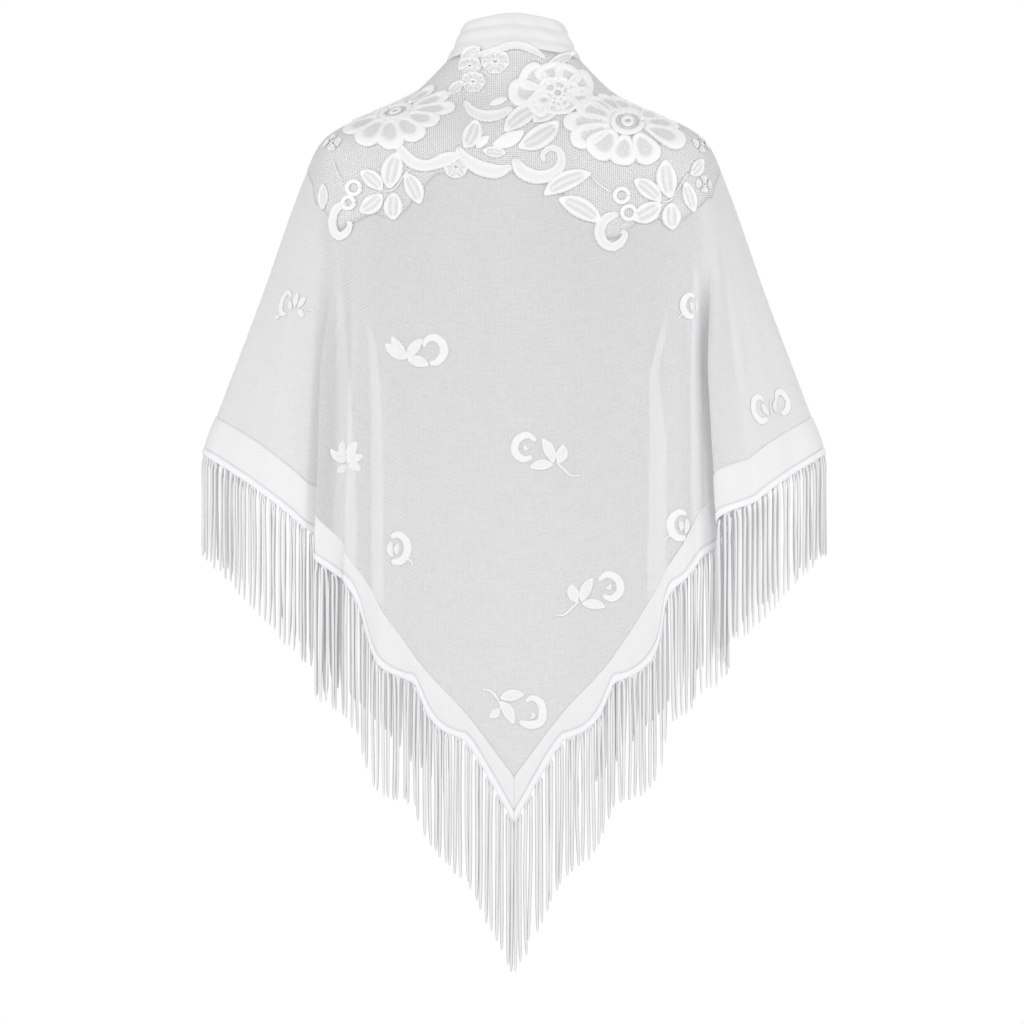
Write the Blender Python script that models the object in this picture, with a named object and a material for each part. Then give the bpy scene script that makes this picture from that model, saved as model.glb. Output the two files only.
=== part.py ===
"""Embroidered shawl: a sheer white triangle worn over the shoulders, seen from the back.

Metres, +Z up. The back faces -Y and +X is the wearer's right. The origin is the
middle of the neck opening, level with the seam of the neck band over the shoulder.
"""
import math

import bmesh
import bpy
import numpy as np
from mathutils import Vector
from mathutils.bvhtree import BVHTree

# Sizes in metres.
VOILE_THICK = 0.0013
YOKE_THICK = 0.0018
HEM_THICK = 0.0020
HEM_RAISE = 0.0005
SEAM_GAP = 0.0011
YOKE_GAP = 0.0013
SEAM_BEVEL = 0.0008
NECK_HALF_WIDTH = 0.072
NECK_BACK = 0.062
NECK_FRONT = 0.070
COLLAR_WIDTH = 0.042
COLLAR_THICK = 0.0024
LOCK_PITCH = 0.0068
LOCK_WIDTH = 0.0038
LOCK_THICK = 0.0020
FRINGE_STRIP = 0.0026
FRINGE_GAP = 0.0027
TIP_SEAM = 0.0006
YOKE_ROWS = 8
VOILE_ROWS = 7
HEM_ROWS = 2
MOTIF_LIFT = 0.0003
MOTIF_LIFT_STEP = 0.00012
MOTIF_LIFT_MOST = 0.0020
WALL_REACH = 0.006
RAY_START = 0.02
RAY_LONG = 0.03
MOTIF_EDGE = 0.0009
MOTIF_HEIGHT = 0.0024

# One row for each fall line of a half, from the middle of the back round to the front edge:
# station, angle round the neck (degrees), neck seam z, shoulder turn x y z, hem x y z,
# depth of the lace yoke, drop of the hem band and length of the fringe.
FALL = np.array([
    # u      deg    neck_z   sh_x    sh_y    sh_z    hem_x   hem_y   hem_z   yoke   band   fringe
    (0.000,   0.0,  0.012,  0.0000, -0.112, -0.088,  0.000, -0.128, -0.798,  0.150, 0.048, 0.155),
    (0.115,  15.0,  0.011,  0.0470, -0.113, -0.088,  0.050, -0.128, -0.714,  0.165, 0.030, 0.140),
    (0.235,  30.0,  0.009,  0.0970, -0.111, -0.087,  0.103, -0.128, -0.655,  0.205, 0.030, 0.122),
    (0.345,  45.0,  0.007,  0.1460, -0.103, -0.087,  0.166, -0.124, -0.558,  0.238, 0.031, 0.131),
    (0.460,  60.0,  0.005,  0.1860, -0.078, -0.085,  0.208, -0.116, -0.502,  0.234, 0.048, 0.136),
    (0.560,  74.0,  0.002,  0.1955, -0.040, -0.080,  0.268, -0.086, -0.452,  0.206, 0.046, 0.122),
    (0.660,  88.0,  0.000,  0.1970,  0.005, -0.078,  0.330,  0.000, -0.413,  0.186, 0.042, 0.100),
    (0.750, 100.0, -0.006,  0.1900,  0.045, -0.086,  0.292,  0.080, -0.432,  0.176, 0.045, 0.112),
    (0.840, 110.0, -0.013,  0.1630,  0.080, -0.103,  0.222,  0.120, -0.492,  0.166, 0.048, 0.124),
    (0.920, 119.0, -0.021,  0.1150,  0.102, -0.125,  0.145,  0.133, -0.566,  0.156, 0.049, 0.132),
    (1.000, 128.0, -0.030,  0.0580,  0.106, -0.140,  0.060,  0.134, -0.655,  0.150, 0.050, 0.140),
])
U, DEG, NECK_Z, SH, HEM, YOKE, BAND, FRINGE = (
    FALL[:, 0], FALL[:, 1], FALL[:, 2], FALL[:, 3:6], FALL[:, 6:9], FALL[:, 9], FALL[:, 10], FALL[:, 11])

# The cloth sinks beside the neck band and swells out over the shoulder turn.
NECK_DIP = 0.0115
NECK_DIP_AT = 0.30
TURN_SWELL = 0.008
TURN_AT = 0.13
HANG_SWELL = 0.003
HANG_AT = 0.52

# A lapped fold rises and rolls over by these shares of its depth.
LAP_RISE = 0.44
LAP_ROLL = 0.35
# Steps for finding the run of the cloth.
SLOPE_STEP = 0.002
NORMAL_STEP = 0.0015

# Scallops of the hem of a half: station and drop below the line of the cusps.
SCALLOPS = np.array([
    # u     drop
    (0.115, 0.0000),
    (0.139, 0.0075),
    (0.163, 0.0140),
    (0.187, 0.0168),
    (0.208, 0.0148),
    (0.223, 0.0070),
    (0.235, 0.0000),
    (0.252, 0.0075),
    (0.273, 0.0210),
    (0.292, 0.0315),
    (0.308, 0.0345),
    (0.320, 0.0255),
    (0.331, 0.0080),
    (0.345, 0.0000),
    (0.375, 0.0050),
    (0.405, 0.0075),
    (0.440, 0.0040),
    (0.480, 0.0000),
])

# Lapped folds: side, station, half width, lap along the cloth, depth, where it starts and is full.
# The depth is positive where the back panel lies over the wing.
LAPS = (
    # side   u      half   lap     depth    start  full
    (-1.0, 0.427, 0.056, 0.0225, 0.0250, 0.235, 0.420),
    (1.0, 0.479, 0.056, 0.0225, -0.0250, 0.235, 0.420),
)

# Soft ridges: side, station, half width, lean along the cloth, height, start and full.
RIDGES = (
    # side   u      half   lean    height  start  full
    (-1.0, 0.350, 0.034, 0.0050, 0.0080, 0.250, 0.480),
    (-1.0, 0.285, 0.030, 0.0035, 0.0060, 0.300, 0.500),
    (1.0, 0.345, 0.036, -0.0040, 0.0070, 0.280, 0.480),
    (-1.0, 0.800, 0.050, 0.0040, 0.0080, 0.240, 0.450),
    (1.0, 0.800, 0.050, 0.0040, 0.0080, 0.240, 0.450),
)


def smooth_row(stations, values, at):
    """Value at a station on a smooth curve through the rows of a table."""
    k = int(np.clip(np.searchsorted(stations, at) - 1, 0, len(stations) - 2))
    span = stations[k + 1] - stations[k]
    f = (at - stations[k]) / span

    def slope(i):
        low = max(i - 1, 0)
        high = min(i + 1, len(stations) - 1)
        return (values[high] - values[low]) / (stations[high] - stations[low])

    f2 = f * f
    f3 = f2 * f
    return ((2 * f3 - 3 * f2 + 1) * values[k] + (f3 - 2 * f2 + f) * span * slope(k)
            + (3 * f2 - 2 * f3) * values[k + 1] + (f3 - f2) * span * slope(k + 1))


def ease(low, high, value):
    """0 below low, 1 above high, smooth between."""
    f = min(max((value - low) / (high - low), 0.0), 1.0)
    return f * f * (3 - 2 * f)


def unit(vector):
    return vector / np.linalg.norm(vector)


KEYS = {}


def fall_line(u):
    """Key points of the fall line at a station, with their distance down the cloth."""
    if u in KEYS:
        return KEYS[u]
    p = abs(u)
    side = -1.0 if u < 0 else 1.0
    angle = math.radians(smooth_row(U, DEG, p))
    depth = NECK_BACK if angle < math.pi / 2 else NECK_FRONT
    neck_z = smooth_row(U, NECK_Z, p)
    neck = np.array((NECK_HALF_WIDTH * math.sin(angle), -depth * math.cos(angle), neck_z))
    turn = smooth_row(U, SH, p)
    hem = smooth_row(U, HEM, p)
    out = unit(np.array((turn[0], turn[1], 0.0)))
    dip = neck + NECK_DIP_AT * (turn - neck) - np.array((0.0, 0.0, NECK_DIP))
    below = turn + TURN_AT * (hem - turn) + TURN_SWELL * out
    hang = turn + HANG_AT * (hem - turn) + HANG_SWELL * out
    points = np.array((neck, dip, turn, below, hang, hem))
    points[:, 0] *= side
    steps = np.linalg.norm(np.diff(points, axis=0), axis=1)
    KEYS[u] = points, np.concatenate(((0.0,), np.cumsum(steps)))
    return KEYS[u]


def length(u):
    """Distance from the neck seam to the hem, without scallops."""
    return fall_line(u)[1][-1]


def base(u, s):
    points, marks = fall_line(u)
    return smooth_row(marks, points, s)


def surface(u, s):
    """Point on the outside of the cloth, folds included."""
    step = SLOPE_STEP
    low = base(u - step if u - step > -1 else u, s)
    high = base(u + step if u + step < 1 else u, s)
    along = unit(high - low)
    down = unit(base(u, s + step) - base(u, s - step))
    out = unit(np.cross(down, along))
    side = -1.0 if u < 0 else 1.0
    shift = 0.0
    rise = 0.0
    for fold_side, at, half, lap, depth, start, full in LAPS:
        q = (abs(u) - at) / half
        if fold_side == side and abs(q) < 1:
            grown = ease(start, full, s) * (1.0 - q ** 4)
            shift -= side * lap * grown * math.sin(math.pi * q)
            wave = math.sin(math.pi * q) - LAP_ROLL * math.sin(2 * math.pi * q)
            rise -= LAP_RISE * depth * grown * wave
    for fold_side, at, half, lean, height, start, full in RIDGES:
        q = (abs(u) - at) / half
        if fold_side == side and abs(q) < 1:
            grown = ease(start, full, s)
            swell = 0.5 + 0.5 * math.cos(math.pi * q)
            shift += side * lean * grown * swell
            rise += height * grown * swell
    return base(u, s) + along * shift + out * rise


def outward(u, s):
    """Outward direction of the folded cloth."""
    step = NORMAL_STEP
    low = surface(max(u - step, -1.0), s)
    high = surface(min(u + step, 1.0), s)
    up = surface(u, s - step)
    down = surface(u, s + step)
    return unit(np.cross(down - up, high - low))


def hem_end(u):
    """Distance from the neck seam to the scalloped hem."""
    p = abs(u)
    if p <= SCALLOPS[0, 0] or p >= SCALLOPS[-1, 0]:
        return length(u)
    return length(u) + max(0.0, smooth_row(SCALLOPS[:, 0], SCALLOPS[:, 1], p))


def yoke_end(u):
    return smooth_row(U, YOKE, abs(u))


def band_start(u):
    return length(u) - smooth_row(U, BAND, abs(u))


# Stations shared by the pieces, so that their seams run alike. The steps are shares of a half.
LAP_STEP = 0.0082
RIDGE_STEP = 0.017
PLAIN_STEP = 0.033
YOKE_STEP = 0.027
# The stretches of the sheer panel part where the lapped cloth hides it.
SPLIT_SHARE = 0.7
SPLIT_LEFT = -(LAPS[0][1] + SPLIT_SHARE * LAPS[0][2])
SPLIT_RIGHT = LAPS[1][1] - SPLIT_SHARE * LAPS[1][2]
SPLIT_GAP = 0.0009
# The lace yoke is seamed on top of each shoulder.
SHOULDER_SEAM = 0.66
SHOULDER_GAP = 0.0022
# Station counts are found on this many tries, and stations nearer an end than this are left out.
STATION_TRIES = 400
STATION_NEAR = 0.0005


def fineness(u):
    """Step between stations: close across a lapped fold, less so across a soft ridge."""
    for step, reach, folds in ((LAP_STEP, 1.2, LAPS), (RIDGE_STEP, 1.0, RIDGES)):
        for row in folds:
            if row[0] * u > 0 and abs(abs(u) - row[1]) < reach * row[2]:
                return step
    return PLAIN_STEP


def all_stations():
    """Stations from one front edge to the other, with one at each scallop's ends and each split."""
    ends = {-1.0, SPLIT_LEFT - SPLIT_GAP, SPLIT_LEFT, 0.0, SPLIT_RIGHT, SPLIT_RIGHT + SPLIT_GAP, 1.0}
    for u in SCALLOPS[:, 0]:
        ends |= {float(u), -float(u)}
    ends = sorted(ends)
    marks = []
    for first, last in zip(ends[:-1], ends[1:]):
        fine = np.linspace(first, last, STATION_TRIES)
        costs = [(fine[1] - fine[0]) / fineness(u) for u in fine[1:]]
        cost = np.concatenate(((0.0,), np.cumsum(costs)))
        count = max(1, round(cost[-1]))
        marks += [float(np.interp(cost[-1] * k / count, cost, fine)) for k in range(count)]
    return marks + [1.0]


STATIONS = all_stations()


def stations_between(low, high):
    return [low] + [u for u in STATIONS if low + STATION_NEAR < u < high - STATION_NEAR] + [high]


def yoke_stations(low, high):
    """The stations between two, but those closer than a step of the yoke."""
    kept = [low]
    for u in stations_between(low, high)[1:-1]:
        if u - kept[-1] > YOKE_STEP and high - u > 0.5 * YOKE_STEP or u == 0.0:
            kept.append(u)
    return kept + [high]


# Building of solids.
def clear_scene():
    for item in list(bpy.data.objects):
        bpy.data.objects.remove(item, do_unlink=True)


def material(name, colour, roughness):
    made = bpy.data.materials.new(name)
    made.use_nodes = True
    shader = made.node_tree.nodes["Principled BSDF"]
    shader.inputs["Base Color"].default_value = (*colour, 1.0)
    shader.inputs["Roughness"].default_value = roughness
    return made


def solid(name, points, faces, colour, roughness):
    mesh = bpy.data.meshes.new(name)
    mesh.from_pydata([tuple(point) for point in points], [], faces)
    shape = bmesh.new()
    shape.from_mesh(mesh)
    bmesh.ops.triangulate(shape, faces=shape.faces)
    bmesh.ops.recalc_face_normals(shape, faces=shape.faces)
    shape.to_mesh(mesh)
    shape.free()
    made = bpy.data.objects.new(name, mesh)
    made.data.materials.append(material(name + "_cloth", colour, roughness))
    bpy.context.collection.objects.link(made)
    return made


def wall(name, outer, inner, colour, roughness, closed=False):
    """Closed wall between two grids of points; closed joins the last column to the first."""
    rows = len(outer)
    cols = len(outer[0])
    points = [p for row in outer for p in row] + [p for row in inner for p in row]
    back = rows * cols
    faces = []
    last = cols if closed else cols - 1
    for r in range(rows - 1):
        for c in range(last):
            n = (c + 1) % cols
            ring = (r * cols + c, r * cols + n, (r + 1) * cols + n, (r + 1) * cols + c)
            faces.append(ring)
            faces.append(tuple(back + i for i in reversed(ring)))
    for c in range(last):
        n = (c + 1) % cols
        faces.append((c, back + c, back + n, n))
        top = (rows - 1) * cols
        faces.append((top + c, top + n, back + top + n, back + top + c))
    if not closed:
        for r in range(rows - 1):
            a = r * cols
            b = (r + 1) * cols
            faces.append((a, b, back + b, back + a))
            faces.append((a + cols - 1, back + a + cols - 1, back + b + cols - 1, b + cols - 1))
    return solid(name, points, faces, colour, roughness)


CLOTHS = []


def cloth(name, stations, start, end, rows, thick, raise_by, colour, roughness):
    """Wall of cloth between two distances down each fall line; its ends are cut back on the inside."""
    outer = []
    inner = []
    for r in range(rows + 1):
        outer_row = []
        inner_row = []
        for u in stations:
            s = start(u) + (end(u) - start(u)) * r / rows
            point = surface(u, s)
            out = outward(u, s)
            cut = SEAM_BEVEL * ((r == 0) - (r == rows))
            outer_row.append(point + out * raise_by)
            inner_row.append(surface(u, s + cut) + out * (raise_by - thick))
        outer.append(outer_row)
        inner.append(inner_row)
    made = wall(name, outer, inner, colour, roughness)
    CLOTHS.append(made)
    return outer[-1], inner[-1]


# Sheer panel, in the three stretches that show, lace yoke above it and satin band below it.
WHITE = (0.86, 0.86, 0.84)
SHEER = (0.80, 0.80, 0.78)
NET = (0.78, 0.78, 0.76)


def make_panels():
    stretches = (
        ("voile_left", -1.0, SPLIT_LEFT - SPLIT_GAP),
        ("voile_back", SPLIT_LEFT, SPLIT_RIGHT),
        ("voile_right", SPLIT_RIGHT + SPLIT_GAP, 1.0),
    )
    for name, low, high in stretches:
        cloth(name, stations_between(low, high), lambda u: yoke_end(u) + YOKE_GAP,
              lambda u: band_start(u) - SEAM_GAP, VOILE_ROWS, VOILE_THICK, 0.0, SHEER, 0.7)


def make_yoke():
    """Lace over the back and over each front, seamed on the shoulder."""
    stretches = (
        ("lace_yoke_left", -1.0, -SHOULDER_SEAM - SHOULDER_GAP),
        ("lace_yoke_back", -SHOULDER_SEAM, SHOULDER_SEAM),
        ("lace_yoke_right", SHOULDER_SEAM + SHOULDER_GAP, 1.0),
    )
    for name, low, high in stretches:
        cloth(name, yoke_stations(low, high), lambda u: 0.0, yoke_end,
              YOKE_ROWS, YOKE_THICK, 0.0, NET, 0.8)


def make_hem_bands():
    edges = []
    for name, low, high in (("hem_band_left", -1.0, -TIP_SEAM), ("hem_band_right", TIP_SEAM, 1.0)):
        stations = stations_between(low, high)
        outer, inner = cloth(name, stations, band_start, hem_end,
                             HEM_ROWS, HEM_THICK, HEM_RAISE, WHITE, 0.45)
        middle = [0.5 * (a + b) for a, b in zip(outer, inner)]
        for spot, a, b in zip(middle, outer, inner):
            spot[2] = min(a[2], b[2])
        edges.append((name, stations, middle))
    return edges


# Neck band, round the neck and down both front edges.
# Across the band: share of its width and how far the soft folds stand out.
COLLAR_FOLDS = (
    (0.00, 0.0000),
    (0.16, 0.0012),
    (0.36, -0.0002),
    (0.54, 0.0011),
    (0.72, -0.0003),
    (0.88, 0.0009),
    (1.00, -0.0005),
)
COLLAR_LEAN = 0.44
COLLAR_NECK = 0.15
COLLAR_TURN_BEFORE = 0.070
COLLAR_TURN_AFTER = 0.040
COLLAR_GAP = 0.0012
COLLAR_STEPS = 15
COLLAR_RUN = 0.005


def collar_station(mark):
    """Point on the seam and direction across the band: marks to 1 go round the neck, then metres down."""
    gone = max(mark - 1.0, 0.0)
    point = base(min(mark, 1.0), min(gone, length(1.0)))
    inward = unit(np.array((-point[0], -point[1], 0.0)))
    standing = unit(COLLAR_LEAN * inward + np.array((0.0, 0.0, 1.0)))
    lying = np.array((-1.0, 0.0, 0.0))
    before = (1.0 - min(mark, 1.0)) * COLLAR_NECK
    turned = ease(-COLLAR_TURN_BEFORE, COLLAR_TURN_AFTER, gone - before)
    across = unit((1 - turned) * standing + turned * lying)
    return point, across


def make_neck_band():
    marks = [i / COLLAR_STEPS for i in range(COLLAR_STEPS)]
    stretches = (
        (0.0, yoke_end(1.0), YOKE_ROWS),
        (yoke_end(1.0), band_start(1.0), VOILE_ROWS),
        (band_start(1.0), length(1.0), HEM_ROWS),
    )
    for start, end, rows in stretches:
        marks += [1.0 + start + (end - start) * r / rows for r in range(rows)]
    marks.append(1.0 + length(1.0))
    half = []
    for mark in marks:
        point, across = collar_station(mark)
        ahead, _ = collar_station(min(mark + COLLAR_RUN, marks[-1]))
        behind, _ = collar_station(max(mark - COLLAR_RUN, 0.0))
        along = unit(ahead - behind)
        out = unit(np.cross(along, across))
        if mark == 0.0:
            out = unit(np.array((0.0, -1.0, COLLAR_LEAN)))
        half.append((point, across, out))
    mirrored = np.array((-1.0, 1.0, 1.0))
    full = [tuple(v * mirrored for v in row) for row in reversed(half[1:])] + half
    outer = []
    inner = []
    for share, stand in COLLAR_FOLDS:
        width = COLLAR_GAP + share * COLLAR_WIDTH
        outer.append([p + a * width + n * stand for p, a, n in full])
        inner.append([p + a * width + n * (stand - COLLAR_THICK) for p, a, n in full])
    wall("neck_band", outer, inner, WHITE, 0.5)


# Fringe: locks that hang straight down from a narrow strip under the hem.
LOCK_START = 0.0003
LOCK_SWAY = 0.002
LOCK_SWAY_TURN = 1.7
RUN_STEP = 0.0015


def make_fringe(name, stations, edge):
    edge = np.array(edge)
    steps = np.linalg.norm(np.diff(edge[:, :2], axis=0), axis=1)
    gone = np.concatenate(((0.0,), np.cumsum(steps)))
    count = int((gone[-1] - LOCK_WIDTH) / LOCK_PITCH) + 1
    pitch = (gone[-1] - LOCK_WIDTH - 2 * LOCK_START) / (count - 1)
    marks = []
    for i in range(count):
        start = LOCK_START + i * pitch
        marks += [start, start + LOCK_WIDTH]
    points = []
    drops = []
    for mark in marks:
        spot = np.array([np.interp(mark, gone, edge[:, k]) for k in range(3)])
        ahead = np.array([np.interp(mark + RUN_STEP, gone, edge[:, k]) for k in range(2)])
        behind = np.array([np.interp(mark - RUN_STEP, gone, edge[:, k]) for k in range(2)])
        run = unit(ahead - behind)
        out = np.array((run[1], -run[0], 0.0)) * (0.5 * LOCK_THICK)
        top = spot - np.array((0.0, 0.0, FRINGE_GAP))
        low = top - np.array((0.0, 0.0, FRINGE_STRIP))
        points += [top + out, top - out, low + out, low - out]
        drops.append(smooth_row(U, FRINGE, abs(float(np.interp(mark, gone, stations)))))
    faces = [(0, 1, 3, 2)]
    end = 4 * (len(marks) - 1)
    faces.append((end, end + 2, end + 3, end + 1))
    for i in range(len(marks) - 1):
        a = 4 * i
        b = a + 4
        faces += [(a, b, b + 1, a + 1), (a, a + 2, b + 2, b), (a + 1, b + 1, b + 3, a + 3)]
        if i % 2:
            faces.append((a + 2, a + 3, b + 3, b + 2))
            continue
        drop = drops[i] + LOCK_SWAY * math.sin(LOCK_SWAY_TURN * i)
        tip = len(points)
        for corner in (a + 2, a + 3, b + 3, b + 2):
            x, y, _ = points[corner]
            points.append(np.array((x, y, 0.5 * (points[a + 2][2] + points[b + 2][2]) - drop)))
        ring = (a + 2, a + 3, b + 3, b + 2)
        for k in range(4):
            n = (k + 1) % 4
            faces.append((ring[k], ring[n], tip + n, tip + k))
        faces.append((tip, tip + 1, tip + 2, tip + 3))
    solid(name, points, faces, WHITE, 0.6)


# Raised flowers and leaves of the lace yoke.
# Each stands round an anchor given as x and z of the back view in millimetres.
# Its own sizes are millimetres along the cloth, across and uphill.
LACE_TOP = 0.003
LACE_REACH_U = 0.64
LACE_REACH_S = 0.26
SEARCH_U = np.linspace(0.0, LACE_REACH_U, 22)
SEARCH_S = np.linspace(0.01, LACE_REACH_S, 17)
# Steps for finding the run of the cloth at an anchor, most move at a try and the tries.
ANCHOR_STEP = (0.004, 0.004)
ANCHOR_MOVE = (0.02, 0.01)
ANCHOR_TRIES = 6
ANCHOR_SHARE = 0.7


def cloth_tree():
    """The walls that the lace forms lie on, for finding their outside and what crosses them."""
    points = []
    faces = []
    for made in CLOTHS:
        first = len(points)
        points += [vertex.co.copy() for vertex in made.data.vertices]
        faces += [tuple(first + i for i in face.vertices) for face in made.data.polygons]
    return BVHTree.FromPolygons(points, faces)


def on_wall(tree, u, s):
    """Point on the faces of the wall and the outward direction there."""
    point = surface(u, s)
    out = outward(u, s)
    hit = tree.ray_cast(Vector(point + RAY_START * out), Vector(-out), RAY_LONG)[0]
    if hit is not None and (hit - Vector(point)).length < WALL_REACH:
        point = np.array(hit)
    return point, out


def seat(name, tree, spots, closed):
    """Solid over a grid of spots, each a station, a distance and a height, close to the wall."""
    grid = [[(*on_wall(tree, u, s), rise) for u, s, rise in row] for row in spots]
    lift = MOTIF_LIFT
    while True:
        inner = [[point + out * lift for point, out, _ in row] for row in grid]
        rows = len(inner)
        cols = len(inner[0])
        faces = []
        for r in range(rows - 1):
            for c in range(cols if closed else cols - 1):
                n = (c + 1) % cols
                ring = (r * cols + c, r * cols + n, (r + 1) * cols + n, (r + 1) * cols + c)
                faces += [ring[:3], (ring[0], ring[2], ring[3]), ring[1:], (ring[0], ring[1], ring[3])]
        under = BVHTree.FromPolygons([Vector(point) for row in inner for point in row], faces)
        if lift > MOTIF_LIFT_MOST or not under.overlap(tree):
            break
        lift += MOTIF_LIFT_STEP
    lift += MOTIF_LIFT_STEP
    outer = [[point + out * (lift + rise) for point, out, rise in row] for row in grid]
    inner = [[point + out * lift for point, out, _ in row] for row in grid]
    wall(name, outer, inner, WHITE, 0.6, closed)


class Anchor:
    """Point of the back that shows at x, z, with the steps that lay a flat shape round it."""

    def __init__(self, x_mm, z_mm):
        x = 0.001 * x_mm
        z = 0.001 * z_mm
        side = -1.0 if x < 0 else 1.0
        best = None
        for u in SEARCH_U:
            for s in SEARCH_S:
                point = base(side * u, s)
                miss = (point[0] - x) ** 2 + (point[2] - z) ** 2
                if best is None or miss < best[0]:
                    best = (miss, side * u, s)
        u, s = best[1:]
        for _ in range(ANCHOR_TRIES):
            here = base(u, s)
            du, ds = self.runs(u, s)
            sides = np.array(((du[0], ds[0]), (du[2], ds[2])))
            move = ANCHOR_SHARE * np.linalg.solve(sides, np.array((x - here[0], z - here[2])))
            move = np.clip(move, -np.array(ANCHOR_MOVE), ANCHOR_MOVE)
            u = min(max(u + move[0], -LACE_REACH_U), LACE_REACH_U)
            s = min(max(s + move[1], LACE_TOP), LACE_REACH_S)
        self.u = u
        self.s = s
        du, ds = self.runs(u, s)
        across = unit(du)
        uphill = unit(-ds + across * float(np.dot(ds, across)))
        along_row = (np.dot(du, across), np.dot(ds, across))
        uphill_row = (np.dot(du, uphill), np.dot(ds, uphill))
        self.steps = np.linalg.inv(np.array((along_row, uphill_row)))

    def runs(self, u, s):
        """Change of the point for each step along and down the cloth."""
        step_u, step_s = ANCHOR_STEP
        du = (base(u + step_u, s) - base(u - step_u, s)) / (2 * step_u)
        ds = (base(u, s + step_s) - base(u, s - step_s)) / (2 * step_s)
        return du, ds

    def lay(self, a_mm, b_mm):
        du, ds = self.steps @ np.array((0.001 * a_mm, 0.001 * b_mm))
        return self.u + du, max(self.s + ds, LACE_TOP)


def strip(name, tree, anchor, spine, widths, closed=False):
    """Raised strip along a spine; leaves, scrolls and rings are such strips."""
    count = len(spine)
    spots = [[], [], []]
    for i in range(count):
        ahead = spine[(i + 1) % count] if closed else spine[min(i + 1, count - 1)]
        behind = spine[i - 1] if closed or i else spine[0]
        run = unit(np.array(ahead) - np.array(behind))
        side = np.array((run[1], -run[0]))
        for row, share in enumerate((-0.5, 0.0, 0.5)):
            a, b = np.array(spine[i]) + side * widths[i] * share
            spots[row].append((*anchor.lay(a, b), MOTIF_EDGE if share else MOTIF_HEIGHT))
    seat(name, tree, spots, closed)


# Share of the length of a leaf and share of its width there.
LEAF_SHAPE = ((-0.5, 0.16), (-0.24, 0.8), (0.05, 1.0), (0.30, 0.66), (0.5, 0.14))


def leaf(tree, name, x, z, long, wide, angle, bend):
    turn = math.radians(angle)
    spine = []
    for share, _ in LEAF_SHAPE:
        a = long * share
        b = bend * (1.0 - 4.0 * share * share)
        spine.append((a * math.cos(turn) - b * math.sin(turn), a * math.sin(turn) + b * math.cos(turn)))
    strip(name, tree, Anchor(x, z), spine, [wide * width for _, width in LEAF_SHAPE])


# Degrees of turn between the points of a scroll, and its fewest steps; points round a ring.
SCROLL_STEP = 32.0
SCROLL_LEAST = 5
RING_POINTS = 8


def scroll(tree, name, x, z, radius, start, sweep, wide, flat):
    spine = []
    widths = []
    steps = max(SCROLL_LEAST, int(abs(sweep) / SCROLL_STEP))
    for i in range(steps + 1):
        a = math.radians(start + sweep * i / steps)
        spine.append((radius * math.cos(a), flat * radius * math.sin(a)))
        widths.append(wide * (0.5 + 0.5 * math.sin(math.pi * i / steps)))
    strip(name, tree, Anchor(x, z), spine, widths)


def ring(tree, name, x, z, radius, wide):
    turns = np.linspace(0.0, 2.0 * math.pi, RING_POINTS + 1)[:-1]
    spine = [(radius * math.cos(a), radius * math.sin(a)) for a in turns]
    strip(name, tree, Anchor(x, z), spine, [wide] * len(spine), closed=True)


# Rings of points of a flower: share of its radius and share of its height there.
# A small one, up to this radius in millimetres, has only the first and last.
FLOWER_SHAPE = ((0.16, 1.0), (0.44, 0.8), (0.72, 0.6), (1.0, 0.2))
SMALL_FLOWER = 20.0
# Between two petals the edge is drawn in and the flower is lower, by these shares.
CLEFT_IN = 0.22
CLEFT_HEIGHT = 0.4


def flower(tree, name, x, z, radius, petals, flat):
    """Open flower with rounded petals round a small eye."""
    anchor = Anchor(x, z)
    spots = []
    around = 3 * petals
    shape = FLOWER_SHAPE if radius > SMALL_FLOWER else (FLOWER_SHAPE[0], FLOWER_SHAPE[-1])
    for share, height in shape:
        row = []
        for k in range(around):
            turn = 2 * math.pi * k / around
            cleft = k % 3 == 0
            reach = radius * share * (1.0 - (CLEFT_IN * share if cleft else 0.0))
            rise = MOTIF_EDGE + (CLEFT_HEIGHT if cleft else 1.0) * height * (MOTIF_HEIGHT - MOTIF_EDGE)
            row.append((*anchor.lay(reach * math.cos(turn), flat * reach * math.sin(turn)), rise))
        spots.append(row)
    seat(name, tree, spots, closed=True)


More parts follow.
